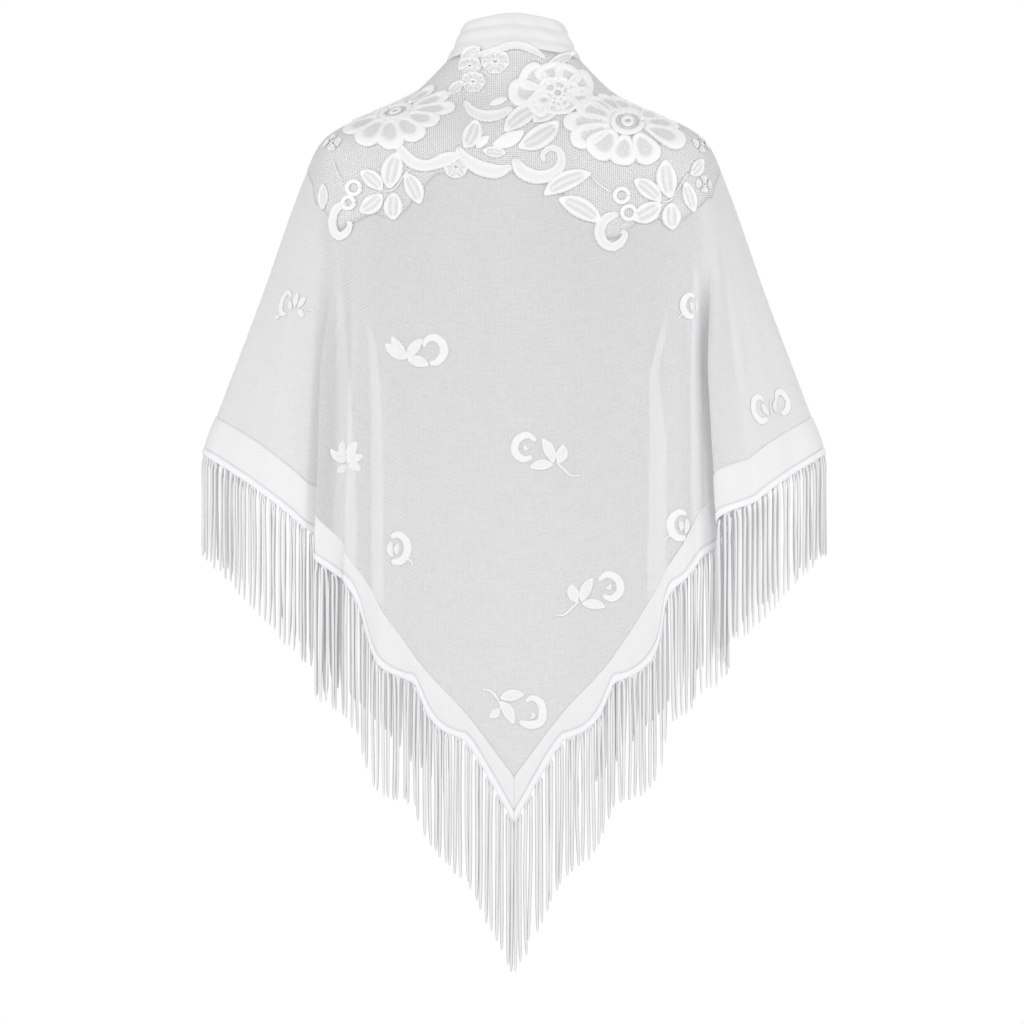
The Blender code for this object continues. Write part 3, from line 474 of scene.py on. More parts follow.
voile, _, u, s = lay_cloth(
    "voile_panel", close_columns(-1.0, 1.0, 420), np.linspace(0.0, 1.0, 81),
    lambda u, row: lace_end(u) - VOILE_TUCK + (band_start(u) + 0.004 - lace_end(u) + VOILE_TUCK) * row,
    lambda u, s, row: (WHITER_STRIPS_STAND * share_within(WHITER_STRIPS, u, s, WHITER_STRIPS_EDGE, WHITER_STRIPS_FADE) - 0.0005
                       * (1 - ease(0.0, 0.008, s - lace_end(u) + 0.001))
                       - 0.0006 * ease(-0.003, 0.001, s - band_start(u))),
    VOILE_WALL)
in_wings = np.where(u < 0, ease(*WING_LEFT, -u), ease(*WING_RIGHT, u))
strips = share_within(WHITER_STRIPS, u, s, WHITER_STRIPS_EDGE, WHITER_STRIPS_FADE)
# The strips and the wings are painted whiter through this attribute: partly doubled cloth, partly painted light.
for name, values in (("doubled_and_painted_light", np.maximum(0.65 * strips, 0.45 * in_wings)),
                     ("layered", 0.75 * share_within(LAYERED, u, s, LAYERED_EDGE, LAYERED_FADE))):
    voile.data.attributes.new(name, "FLOAT", "POINT").data.foreach_set("value", values.astype(np.float32))
settle(voile)
hand_over(voile, voile_finish, "voile", "voile_back", "voile_left", "voile_right")

# The lace ground. A fine twisted net over the back and both fronts, from the neck band down to
# where the flowers end. It is laid over the voile and sewn down along its drawn lower edge.
NET_HOLE = 2.2
NET_WALL = 0.0005
NET_THREAD = "#F8F8F9"
NET_GAP = "#CECED0"

# Twisted cotton net: soft and dull, and greyer than the cloth because of its holes. The holes are
# about 1 mm wide and are drawn 2.2 mm wide so that they show.
net_finish, tree, shader = new_finish("twisted_cotton_net")
place = add(tree, "ShaderNodeTexCoord").outputs["UV"]
cells = add(tree, "ShaderNodeTexVoronoi", {"Vector": place, "Scale": 1000 / NET_HOLE, "Randomness": 0.35},
            feature="DISTANCE_TO_EDGE").outputs["Distance"]
thread = add(tree, "ShaderNodeMapRange", {"Value": cells, "From Min": 0.06, "From Max": 0.26, "To Min": 1.0,
                                          "To Max": 0.0}).outputs["Result"]
ground = add(tree, "ShaderNodeMix", {"Factor": thread, 6: colour(NET_GAP), 7: colour(NET_THREAD)},
             data_type="RGBA").outputs[2]
opening = add(tree, "ShaderNodeMapRange", {"Value": thread, "To Min": 0.88, "To Max": 1.0}).outputs["Result"]
relief = add(tree, "ShaderNodeBump", {"Height": thread, "Strength": 0.5, "Distance": 0.0005}).outputs[0]
tree.links.new(ground, shader.inputs["Base Color"])
tree.links.new(opening, shader.inputs["Alpha"])
tree.links.new(relief, shader.inputs["Normal"])
shader.inputs["Roughness"].default_value = 0.85

net, _, _, _ = lay_cloth(
    "net_ground", close_columns(-1.0, 1.0, 260), np.linspace(0.0, 1.0, 31),
    lambda u, row: -0.0005 + (lace_end(u) + 0.0005) * row,
    lambda u, s, row: np.full(len(u), 0.0003), NET_WALL)
settle(net)
hand_over(net, net_finish, "lace_net", "lace_yoke_back", "lace_yoke_left", "lace_yoke_right")

# The raised lace. Flowers, leaves and scrolls of close satin stitch, each with a padded rim
# round a paler open middle, sewn on the net. Sizes are millimetres as they are seen on the back,
# or measured along the cloth for those that lie over a shoulder.
LACE_LIFT = 0.0006
LACE_WALL = 0.0006
LACE_WHITE = "#FBFBFB"
LACE_OPEN = "#D0D0D2"
# Grey painted along the outline of each motif: painted shade beside the raised rim.
LACE_EDGE_SHADE = "#BFBFC1"
RIM_HEIGHT = 0.0015
FILL_HEIGHT = 0.0003
PICOT_PITCH = 3.0
PICOT_DEEP = 0.45
COLLAR_STAND = 0.0018
# Forms that reach farther out than this, in millimetres, wrap round the shoulder from their middle.
WRAP_FROM = 186.0


def walk(u0, s0, a_mm, b_mm, steps=10):
    """Stations and distances reached by going level by a and uphill by b over the cloth."""
    u = np.full(len(a_mm), u0)
    s = np.full(len(a_mm), s0)
    for _ in range(steps):
        level_u = (spot(u + 0.003, s)[0] - spot(u - 0.003, s)[0]) / 0.006
        level_s = (spot(u, s + 0.002)[0] - spot(u, s - 0.002)[0]) / 0.004
        out = spot(u, s)[1]
        level = unit(np.stack((-out[:, 1], out[:, 0], np.zeros(len(u))), axis=1))
        uphill = np.cross(out, level)
        uphill = uphill * np.sign(uphill[:, 2:3] + 1e-9)
        target = (level * a_mm[:, None] + uphill * b_mm[:, None]) / (1000 * steps)
        g11 = (level_u * level_u).sum(1)
        g12 = (level_u * level_s).sum(1)
        g22 = (level_s * level_s).sum(1)
        r1 = (target * level_u).sum(1)
        r2 = (target * level_s).sum(1)
        size = g11 * g22 - g12 * g12
        u = u + (r1 * g22 - r2 * g12) / size
        s = np.maximum(s + (r2 * g11 - r1 * g12) / size, -0.018)
    return u, s


def stitched_patch(spine, widths, kind, home=None, deep=33, across=10, relief=1.0):
    """One stitched form along a spine: a grid shaped to its outline, domed or rimmed, on the cloth."""
    spine = np.array(spine, float)
    gone = np.concatenate(((0.0,), np.cumsum(np.linalg.norm(np.diff(spine, axis=0), axis=1))))
    share = np.linspace(0.0, 1.0, deep)
    middle = through_rows(gone / gone[-1], spine, share)
    half = 0.5 * np.maximum(through_rows(np.linspace(0, 1, len(widths)), np.array(widths, float)[:, None], share),
                            0.15)[:, 0]
    ahead = unit(np.gradient(middle, axis=0))
    sideways = np.stack((ahead[:, 1], -ahead[:, 0]), axis=1)
    bpy.ops.mesh.primitive_grid_add(x_subdivisions=across, y_subdivisions=deep - 1, size=2.0)
    patch = bpy.context.object
    flat = np.empty(3 * len(patch.data.vertices), np.float32)
    patch.data.vertices.foreach_get("co", flat)
    t, v = flat.reshape(-1, 3)[:, :2].T
    k = np.rint((v + 1) / 2 * (deep - 1)).astype(int)
    # Small loops of thread along the edge make its outline finely scalloped.
    looped = np.sin(2 * math.pi * share[k] * gone[-1] / PICOT_PITCH) * (np.abs(t) > 0.99)
    picots = 1.0 + PICOT_DEEP * looped / half.max()
    placed = middle[k] + sideways[k] * (t * half[k] * picots)[:, None]
    wide = half[k] / half.max()
    end = np.abs(2 * share[k] - 1)
    rho = np.abs(t) ** 1.5
    if kind != "ring":
        rho = np.maximum(rho, np.clip(np.sqrt((t * wide) ** 2 + end ** 4), 0, 1))
    fall_off = 1 - ease(0.86, 1.0, rho)
    rimmed_height = FILL_HEIGHT + RIM_HEIGHT * np.exp(-((rho - 0.76) / 0.16) ** 2)
    if kind in ("full", "ring"):
        height = FILL_HEIGHT + RIM_HEIGHT * 0.8 * np.sqrt(np.clip(1 - rho ** 2, 0, 1))
        open_part = np.zeros(len(t))
    elif kind == "petal":
        from_island = np.hypot(t / 0.60, (share[k] - 0.44) / 0.32)
        height = FILL_HEIGHT + RIM_HEIGHT * ease(0.80, 1.30, from_island)
        open_part = 1 - ease(0.78, 1.05, from_island)
    elif kind == "ribbon":
        height = rimmed_height
        open_part = 0.45 * (1 - ease(0.30, 0.62, np.abs(t)))
    else:
        vein = np.exp(-(t / 0.12) ** 2) * (end < 0.7)
        height = rimmed_height + 0.0005 * vein
        open_part = (1 - ease(0.42, 0.56, rho)) * (1 - 0.75 * vein)
        if kind == "dark":
            open_part = np.clip(1.5 * open_part, 0, 1)
    height = relief * height * fall_off
    if home is None and np.abs(placed[:, 0]).max() > WRAP_FROM:
        centre = placed.mean(axis=0)
        home = [float(found[0]) for found in seen(centre[:1], centre[1:])]
        placed = placed - centre
    if home is None:
        u, s = seen(placed[:, 0], placed[:, 1])
    else:
        u, s = walk(home[0], home[1], placed[:, 0], placed[:, 1])
    point, out, _ = spot(u, s)
    where = point + out * (LACE_LIFT + height + COLLAR_STAND * ease(0.0, 0.006, -s))[:, None]
    patch.data.vertices.foreach_set("co", where.astype(np.float32).ravel())
    corners = np.empty(len(patch.data.loops), np.int32)
    patch.data.loops.foreach_get("vertex_index", corners)
    uv = np.stack((0.001 * t * half[k], 0.001 * share[k] * gone[-1]), axis=1)[corners]
    patch.data.uv_layers.active.data.foreach_set("uv", uv.astype(np.float32).ravel())
    # The edge mark is where painted shade lies along the outline.
    for name, values in (("open", open_part), ("edge", ease(0.88, 1.0, rho))):
        patch.data.attributes.new(name, "FLOAT", "POINT").data.foreach_set("value", values.astype(np.float32))
    return patch


def gather(name, patches, wall):
    """Joins patches into one piece and gives it its wall."""
    bpy.ops.object.select_all(action="DESELECT")
    for patch in patches:
        patch.select_set(True)
    bpy.context.view_layer.objects.active = patches[0]
    bpy.ops.object.join()
    piece = bpy.context.object
    piece.name = name
    piece.data.name = name
    thick = piece.modifiers.new("Wall", "SOLIDIFY")
    thick.thickness = wall
    thick.offset = -1.0
    settle(piece)
    return piece


# Satin stitch in soft cotton thread: whiter and a little glossier than the cloth. The stitches lie
# about 0.4 mm apart and are drawn 1.2 mm apart so that they show. A grey broken into dots is painted
# along each outline: painted shade beside the raised rim.
def stitched_finish(name, white, open_white, edge_shade):
    finish, tree, shader = new_finish(name)
    place = add(tree, "ShaderNodeTexCoord").outputs["UV"]
    stitch = add(tree, "ShaderNodeTexWave", {"Vector": place, "Scale": 2 * math.pi / 20 / 0.0012, "Distortion": 1.2,
                                             "Detail": 1.0}, bands_direction="DIAGONAL").outputs["Fac"]
    holes = add(tree, "ShaderNodeTexVoronoi", {"Vector": place, "Scale": 520.0, "Randomness": 0.4},
                feature="DISTANCE_TO_EDGE").outputs["Distance"]
    mesh_open = add(tree, "ShaderNodeMapRange", {"Value": holes, "From Min": 0.05, "From Max": 0.3, "To Min": 0.35,
                                                 "To Max": 1.0}).outputs["Result"]
    open_mark = add(tree, "ShaderNodeAttribute", attribute_name="open").outputs["Fac"]
    edge_mark = add(tree, "ShaderNodeAttribute", attribute_name="edge").outputs["Fac"]
    open_part = add(tree, "ShaderNodeMath", {0: open_mark, 1: mesh_open}, operation="MULTIPLY").outputs[0]
    ground = add(tree, "ShaderNodeMix", {"Factor": open_part, 6: colour(white), 7: colour(open_white)},
                 data_type="RGBA").outputs[2]
    # Painted shade along the outline, broken into dots.
    edge_dots = add(tree, "ShaderNodeTexNoise", {"Vector": place, "Scale": 700.0, "Detail": 1.0}).outputs["Fac"]
    dotted_edge = add(tree, "ShaderNodeMapRange", {"Value": edge_dots, "From Min": 0.35, "From Max": 0.6}).outputs["Result"]
    edge_part = add(tree, "ShaderNodeMath", {0: edge_mark, 1: dotted_edge}, operation="MULTIPLY").outputs[0]
    edged = add(tree, "ShaderNodeMix", {"Factor": edge_part, 6: ground, 7: colour(edge_shade)},
                data_type="RGBA").outputs[2]
    relief = add(tree, "ShaderNodeBump", {"Height": stitch, "Strength": 0.35, "Distance": 0.0003}).outputs[0]
    tree.links.new(edged, shader.inputs["Base Color"])
    tree.links.new(relief, shader.inputs["Normal"])
    shader.inputs["Roughness"].default_value = 0.55
    shader.inputs["Sheen Weight"].default_value = 0.15
    return finish


lace_finish = stitched_finish("satin_stitched_cotton_lace", LACE_WHITE, LACE_OPEN, LACE_EDGE_SHADE)

# Leaves: kind, base x z, tip x z, width and bend.
LEAVES = (
    ("open", -129.5, -138.5, -120.5, -99.5, 24.5, 2.0),
    ("open", -98.0, -154.5, -114.0, -121.5, 20.2, -2.0),
    ("open", -125.5, -171.0, -124.0, -141.5, 21.6, 1.0),
    ("open", -161.0, -161.5, -137.0, -143.0, 20.7, -2.0),
    ("open", -160.0, -119.0, -137.0, -140.0, 18.7, 2.0),
    ("open", -197.0, -158.5, -200.0, -130.5, 17.3, 1.0),
    ("open", -52.5, -95.5, -40.0, -65.0, 21.9, -3.0),
    ("full", -39.0, -96.0, -25.5, -83.5, 10.4, 1.0),
    ("full", -23.0, -92.5, 11.0, -77.5, 17.3, -2.0),
    ("open", -33.0, -98.5, -8.0, -101.0, 13.2, 0.0),
    ("full", -26.0, -50.0, -6.5, -43.0, 8.6, 1.0),
    ("open", -10.0, -78.5, 30.0, -50.5, 22.5, 4.0),
    ("open", 20.0, -68.0, 48.5, -51.5, 19.0, 2.0),
    ("dark", 4.0, -95.0, 47.5, -67.0, 25.3, -3.0),
    ("open", 31.0, -145.0, 81.0, -122.0, 21.9, 4.0),
    ("open", 46.0, -148.5, 91.0, -173.5, 23.0, 3.0),
    ("open", 124.5, -128.5, 153.0, -151.5, 20.2, 2.0),
    ("open", 123.0, -169.5, 153.0, -152.5, 23.0, -2.0),
    ("open", 162.5, -148.0, 157.0, -106.5, 23.6, 1.0),
    ("open", 187.5, -162.0, 177.0, -129.5, 18.4, -1.0),
    ("open", 165.5, -181.0, 164.0, -151.5, 21.9, 1.0),
    ("open", 180.5, -122.0, 201.0, -104.5, 16.7, -2.0),
    ("open", -55.5, 2.0, -34.0, 12.5, 13.0, 1.0),
    ("open", 35.5, -4.5, 63.0, 9.5, 12.0, -1.0),
    ("open", -68.0, -38.0, -52.0, -23.5, 12.7, 1.0),
)
LEAF_WIDTHS = (0.12, 0.62, 0.92, 1.0, 0.9, 0.6, 0.1)


def leaf(kind, x0, z0, x1, z1, wide, bend, relief=1.0):
    """A leaf from its base to its tip, bent sideways in the middle."""
    base = np.array((x0, z0))
    tip = np.array((x1, z1))
    ahead = unit(tip - base)
    side = np.array((-ahead[1], ahead[0]))
    spine = [base + (tip - base) * f + side * bend * 4 * f * (1 - f) for f in (0.0, 0.25, 0.5, 0.75, 1.0)]
    return stitched_patch(spine, [wide * w for w in LEAF_WIDTHS], kind, relief=relief)


leaves = gather("lace_leaves", [leaf(*row) for row in LEAVES], LACE_WALL)
hand_over(leaves, lace_finish, "lace_relief", "leaf_left_a", "leaf_left_b", "leaf_left_c", "leaf_left_d",
          "leaf_mid", "leaf_mid_dark", "leaf_right_a", "leaf_right_b", "leaf_right_c", "leaf_right_d",
          "leaf_right_e", "leaf_right_f", "leaf_right_g", "leaf_scroll_a", "leaf_scroll_b", "leaf_side_a",
          "leaf_under_daisy")

# Scrolls, loops and stems: x, z and width along each.
SCROLLS = (
    ((-124.0, -86.5, 5.2), (-116.5, -99.0, 12.7), (-106.0, -110.0, 14.4), (-91.5, -114.0, 13.2),
     (-73.5, -108.5, 16.7), (-54.0, -101.5, 5.8)),
    ((-60.0, -94.0, 6.3), (-49.5, -107.5, 13.8), (-34.5, -116.5, 17.3), (-17.0, -120.0, 16.1),
     (-1.5, -114.5, 5.2)),
    ((-1.5, -105.0, 6.3), (9.0, -120.0, 15.5), (25.0, -126.0, 16.7), (41.0, -122.0, 15.5),
     (49.5, -110.5, 13.2), (46.5, -98.5, 10.4), (37.0, -96.0, 8.1), (29.5, -103.5, 6.3), (33.5, -110.5, 4.6)),
    ((-52.0, -43.0, 4.0), (-45.0, -55.0, 11.5), (-31.0, -61.5, 13.8), (-14.5, -59.5, 12.1), (-0.5, -52.0, 4.0)),
    ((-173.5, -152.5, 6.3), (-185.5, -157.5, 10.9), (-190.5, -170.0, 11.5), (-187.5, -182.5, 11.5),
     (-180.0, -187.0, 10.9), (-172.5, -182.0, 9.8), (-169.5, -174.5, 7.5), (-174.5, -171.0, 4.6)),
    ((110.0, -164.0, 6.3), (95.5, -169.5, 10.9), (89.0, -182.0, 12.1), (93.0, -194.0, 12.1),
     (102.5, -198.5, 11.5), (111.5, -193.5, 10.4), (115.5, -185.0, 8.1), (110.0, -182.0, 4.6)),
    ((-54.0, 1.5, 4.0), (-36.0, 5.5, 6.9), (-17.5, 10.0, 8.6), (0.5, 15.0, 8.6), (18.0, 10.5, 8.6),
     (34.0, 1.0, 4.0)),
    ((-190.5, -106.5, 2.6), (-184.5, -119.0, 2.6), (-176.5, -129.5, 2.6)),
    ((79.5, -123.5, 2.6), (89.0, -134.0, 2.6), (103.0, -143.0, 2.6)),
    ((-138.5, -140.5, 2.6), (-125.5, -138.5, 2.6), (-112.0, -121.5, 2.6), (-104.0, -115.5, 2.3)),
    ((152.5, -152.0, 2.6), (162.5, -149.5, 2.6), (177.0, -127.0, 2.6), (182.5, -120.0, 2.3)),
)


def scroll(rows, kind="ribbon", relief=1.0):
    """A stitched ribbon along a curve; its points are closer where it is long."""
    rows = np.array(rows)
    return stitched_patch(rows[:, :2], rows[:, 2], kind, None, 8 * len(rows) + 1, 8, relief)


scrolls = gather("lace_scrolls", [scroll(rows) for rows in SCROLLS], LACE_WALL)
hand_over(scrolls, lace_finish, "lace_relief", "scroll_wavy_a", "scroll_wavy_b", "scroll_centre", "scroll_c",
          "crescent_nape", "loop_left", "loop_right")

# Petals of a flower: first and last distance from its eye, width, first turn, number and squash.
PETAL_WIDTHS = (0.36, 0.64, 0.90, 1.08, 1.16, 1.02, 0.46)


def petal(x, z, turn, start, end, wide, squash=1.0, kind="petal", home=None):
    """A rounded petal that points away from the eye of its flower."""
    a = math.radians(turn)
    ahead = np.array((math.cos(a), squash * math.sin(a)))
    spine = [np.array((x, z)) + ahead * (start + (end - start) * f) for f in (0.0, 0.5, 1.0)]
    return stitched_patch(spine, [wide * w for w in PETAL_WIDTHS], kind, home)


def ringlet(x, z, radius, wide, squash=1.0, home=None):
    """A padded ring: a strip closed round an eye."""
    turns = np.radians(np.linspace(0.0, 360.0, 25))
    spine = [(x + radius * math.cos(a), z + squash * radius * math.sin(a)) for a in turns]
    return stitched_patch(spine, [wide] * 3, "ring", home, 33, 6)


def daisy(x, z, turns, squash=1.0, home=None):
    """A large open flower: petals of uneven length round two rings."""
    made = [petal(x, z, *row, squash, "petal", home) for row in turns]
    made.append(ringlet(x, z, 15.5, 7.5, squash, home))
    made.append(ringlet(x, z, 5.0, 5.0, squash, home))
    return made


# Turn, start, end and width of each petal.
DAISY_RIGHT = (
    (182.0, 18.0, 68.0, 21.0), (158.0, 18.0, 58.0, 21.0), (205.0, 19.0, 66.0, 25.0), (230.0, 19.0, 60.0, 31.0),
    (263.0, 19.0, 60.0, 27.0), (296.0, 19.0, 62.0, 27.0),
)
# Its far petals lie over the top of the shoulder and are measured along the cloth.
DAISY_RIGHT_FAR = (
    (128.0, 18.0, 56.0, 22.0), (102.0, 18.0, 54.0, 22.0), (76.0, 18.0, 54.0, 22.0), (50.0, 18.0, 54.0, 22.0),
    (24.0, 18.0, 56.0, 22.0), (358.0, 18.0, 62.0, 23.0), (332.0, 18.0, 66.0, 27.0),
)
DAISY_LEFT = (
    (4.0, 18.0, 66.0, 24.0), (32.0, 18.0, 60.0, 24.0), (338.0, 18.0, 56.0, 24.0), (308.0, 18.0, 58.0, 25.0),
    (280.0, 18.0, 60.0, 24.0), (252.0, 18.0, 60.0, 26.0), (222.0, 18.0, 60.0, 25.0), (194.0, 18.0, 60.0, 23.0),
    (166.0, 18.0, 56.0, 22.0), (138.0, 18.0, 54.0, 22.0), (108.0, 18.0, 52.0, 22.0), (70.0, 18.0, 54.0, 23.0),
)
home_u, home_s = [[float(v) for v in found] for found in seen((-124.0, 118.5), (-55.0, -66.5))]
patches = daisy(118.5, -66.5, DAISY_RIGHT, 0.80)
patches += [petal(0.0, 0.0, *row, 1.0, "petal", (home_u[1], home_s[1])) for row in DAISY_RIGHT_FAR]
patches += daisy(0.0, 0.0, DAISY_LEFT, 1.0, (home_u[0], home_s[0]))
# The peony over the nape: outer petals first, then the inner ones and its eye.
for row in ((182.0, 14.0, 52.0, 29.0), (146.0, 12.0, 46.0, 31.0), (108.0, 10.0, 38.0, 32.0),
            (66.0, 10.0, 36.0, 31.0), (24.0, 10.0, 40.0, 29.0), (345.0, 8.0, 38.0, 24.0),
            (222.0, 10.0, 38.0, 26.0), (262.0, 10.0, 30.0, 24.0), (304.0, 10.0, 30.0, 22.0)):
    patches.append(petal(45.5, -34.5, *row, 0.86))
for row in ((200.0, 4.0, 27.0, 20.0), (140.0, 3.0, 24.0, 20.0), (80.0, 3.0, 22.0, 19.0), (20.0, 4.0, 24.0, 18.0),
            (290.0, 4.0, 21.0, 17.0)):
    patches.append(petal(45.5, -36.5, *row, 0.86))
patches.append(ringlet(45.5, -36.0, 5.0, 4.0))
# Small flowers: x, z, radius, petals and squash.
SMALL_FLOWERS = (
    (-46.0, -6.5, 12.1, 5, 0.75),
    (-19.5, -2.5, 15.0, 5, 0.80),
    (-42.5, -24.0, 12.7, 5, 0.85),
    (-190.0, -88.0, 9.8, 4, 0.95),
    (-60.5, -115.5, 12.1, 5, 1.0),
    (198.0, -131.5, 9.2, 4, 1.0),
    (196.0, -89.0, 9.8, 4, 1.0),
)
for x, z, radius, count, squash in SMALL_FLOWERS:
    for k in range(count):
        patches.append(petal(x, z, 90.0 + 360.0 * k / count, 0.22 * radius, radius, 1.05 * radius, squash, "open"))
    patches.append(ringlet(x, z, 0.20 * radius, 0.16 * radius, squash))
for x, z, radius in ((-167.0, -136.5, 7.0), (-172.5, -152.0, 6.0), (112.0, -145.0, 7.2), (119.5, -163.0, 7.0)):
    patches.append(ringlet(x, z, radius, 5.4))
flowers = gather("lace_flowers", patches, LACE_WALL)
hand_over(flowers, lace_finish, "lace_relief", "daisy_left", "daisy_right", "peony", "blossom_nape",
          "blossom_low", "bud_shoulder", "ring_left_a", "ring_left_b", "ring_right_a", "ring_right_b")

# The sprigs. Small stitched sprigs of leaves, a curl and a stem, sewn one by one over the voile,
# flatter and softer than the lace. A few patterns, laid plain, turned or mirrored.
SPRIG_WALL = 0.0004
SPRIG_RELIEF = 0.35
SPRIG_WHITE = "#F6F6F7"
SPRIG_OPEN = "#ECECEE"
# Grey painted along the outline of each sprig: painted shade beside its rim.
SPRIG_EDGE_SHADE = "#DADADC"
# For each pattern its leaves, from base x z to tip x z with their width, and its ribbons: x, z, width.
SPRIG_FAN = (
    ((-7.5, -9.0, -30.0, 7.0, 12.5), (-7.5, -9.0, -23.0, 14.5, 12.0), (-7.0, -9.0, 9.0, 11.5, 12.0),
     (-7.0, -10.0, 15.5, -16.5, 12.5)),
    (((9.8, 3.1, 4.0), (12.5, 9.5, 7.5), (20.0, 13.1, 9.0), (29.0, 7.4, 9.5), (31.0, -3.1, 9.5), (24.2, -12.6, 8.5),
      (15.8, -14.2, 4.0)),
     ((-10.0, -2.0, 1.5), (-8.0, -9.5, 2.0))),
)
SPRIG_STEMMED = (
    ((-14.7, 7.3, 10.5, 11.5, 13.6), (-13.9, 5.2, -0.5, -19.4, 13.0), (-16.0, -2.0, -26.0, -12.0, 10.0)),
    (((11.5, 4.2, 4.0), (19.0, 8.0, 7.5), (27.0, 4.0, 9.0), (30.0, -6.0, 9.5), (27.3, -16.8, 10.0),
      (16.8, -20.0, 9.5), (5.2, -16.8, 5.0)),
     ((18.0, -7.0, 2.5), (20.5, -10.5, 4.0), (17.0, -13.0, 3.0)),
     ((-34.0, 18.0, 1.6), (-24.0, 15.0, 2.6), (-17.0, 7.0, 3.0), (-14.0, 0.0, 2.4), (-15.5, -6.0, 1.6))),
)
SPRIG_CURLED = (
    ((-16.0, -10.0, -21.6, 9.4, 13.5), (-12.0, -10.0, 0.3, 15.8, 12.5), (-12.0, -11.6, 13.2, -14.9, 12.0)),
    (((6.0, 12.6, 4.0), (15.0, 19.0, 8.0), (26.0, 14.0, 9.0), (28.5, 2.0, 9.0), (20.0, -6.0, 8.5),
      (10.0, -3.0, 4.5)),
     ((14.0, 6.0, 2.5), (17.5, 4.5, 3.5), (18.0, 9.0, 2.5)),
     ((-40.0, -23.0, 1.6), (-30.0, -23.0, 2.4), (-20.7, -14.9, 2.8), (-14.0, -8.4, 2.2))),
)
SPRIG_PAIRED = (
    ((-3.0, -9.0, -9.0, 5.0, 8.0), (3.0, -8.0, 9.0, 6.0, 8.0)),
    (((-2.0, 6.0, 4.0), (-9.0, 12.5, 8.0), (-18.0, 9.0, 9.0), (-22.0, -3.0, 9.5), (-15.0, -14.0, 9.5),
      (-3.0, -13.0, 5.0)),
     ((2.0, 5.0, 4.0), (9.0, 14.0, 8.0), (18.5, 14.0, 9.5), (24.0, 3.0, 9.5), (17.0, -7.0, 9.0), (6.0, -9.0, 5.0)),
     ((-3.0, -13.0, 2.0), (0.0, -2.0, 2.4), (3.0, 8.0, 2.0))),
)
SPRIG_BLOOM = (
    ((-2.0, -6.0, -17.0, 8.0, 9.5), (-1.0, -6.0, -5.0, 17.0, 10.5), (2.0, -6.0, 10.0, 16.0, 10.5),
     (3.0, -7.0, 17.0, 1.0, 9.5), (0.0, -8.0, -11.0, -15.0, 9.0), (3.0, -9.0, 13.0, -15.0, 9.5)),
    (),
)
SPRIG_WOUND = (
    ((-1.0, -6.0, -7.0, 6.0, 8.0), (2.0, -4.0, 5.0, 15.0, 10.5), (4.0, -5.0, 17.0, 8.0, 10.0),
     (2.0, -8.0, 13.0, -17.0, 9.5), (-16.0, -12.0, -27.0, -15.0, 6.0)),
    (((0.0, 10.0, 4.0), (-8.0, 16.0, 8.0), (-17.0, 11.0, 9.0), (-20.0, 0.0, 9.0), (-15.0, -10.0, 8.5),
      (-3.0, -12.0, 4.0)),
     ((14.0, -8.0, 1.6), (22.0, -7.0, 2.4), (28.0, -10.0, 1.6))),
)
SPRIG_TUCKED = (
    ((-2.0, -9.0, -3.5, 8.0, 7.0), (3.0, -6.0, 5.0, 6.0, 6.5)),
    (((-4.0, 12.0, 5.0), (4.0, 15.0, 8.0), (12.0, 9.0, 9.5), (14.0, -2.0, 9.5), (8.0, -12.0, 9.5),
      (-3.0, -14.0, 6.0)),
     ((12.0, -9.0, 2.6), (18.0, -13.0, 2.2), (20.0, -18.0, 1.4))),
)
# Pattern, centre x and z, turn, size and side.
SPRIGS = (
    (SPRIG_WOUND, -230.0, -257.0, 0.0, 0.85, 1.0),
    (SPRIG_FAN, -104.0, -306.0, 0.0, 1.0, 1.0),
    (SPRIG_BLOOM, -174.0, -417.0, 0.0, 1.0, 1.0),
    (SPRIG_TUCKED, -125.0, -513.0, 0.0, 1.0, 1.0),
    (SPRIG_CURLED, 29.4, -413.7, 0.0, 1.0, -1.0),
    (SPRIG_CURLED, 81.9, -558.6, 0.0, 1.0, 1.0),
    (SPRIG_STEMMED, 0.0, -676.2, 0.0, 1.0, 1.0),
    (SPRIG_TUCKED, 187.0, -260.0, 0.0, 0.80, -1.0),
    (SPRIG_PAIRED, 269.0, -364.0, 8.0, 0.95, 1.0),
    (SPRIG_TUCKED, 176.0, -489.0, 0.0, 0.95, -1.0),
)
sprig_finish = stitched_finish("flat_stitched_cotton_sprig", SPRIG_WHITE, SPRIG_OPEN, SPRIG_EDGE_SHADE)
patches = []
for (sprig_leaves, ribbons), x, z, turn, size, side in SPRIGS:
    a = math.radians(turn)
    lean = size * np.array(((math.cos(a), -math.sin(a)), (math.sin(a), math.cos(a)))) @ np.diag((side, 1.0))
    for x0, z0, x1, z1, wide in sprig_leaves:
        ends = np.concatenate((lean @ (x0, z0) + (x, z), lean @ (x1, z1) + (x, z)))
        patches.append(leaf("open", *ends, size * wide, 1.5 * side, SPRIG_RELIEF))
    for rows in ribbons:
        laid = [(*(lean @ row[:2] + (x, z)), size * row[2]) for row in rows]
        patches.append(scroll(laid, "full", SPRIG_RELIEF))
sprigs = gather("voile_sprigs", patches, SPRIG_WALL)
hand_over(sprigs, sprig_finish, "lace_relief")

# The satin band. A strip of white satin folded over the lower edge of the voile, scalloped on the
# back and mitred at the point, with a stitched line inside its outer edge.
BAND_STAND = 0.0006
BAND_WALL = 0.0014
BAND_WHITE = "#F1F1F2"
BAND_SHADE = "#EAEAEB"
RIM_WHITE = "#F6F6F8"
# Grey painted into the groove of the stitched line: painted shade.
GROOVE_SHADE = "#DCDCDF"
GROOVE_AT = 0.0072
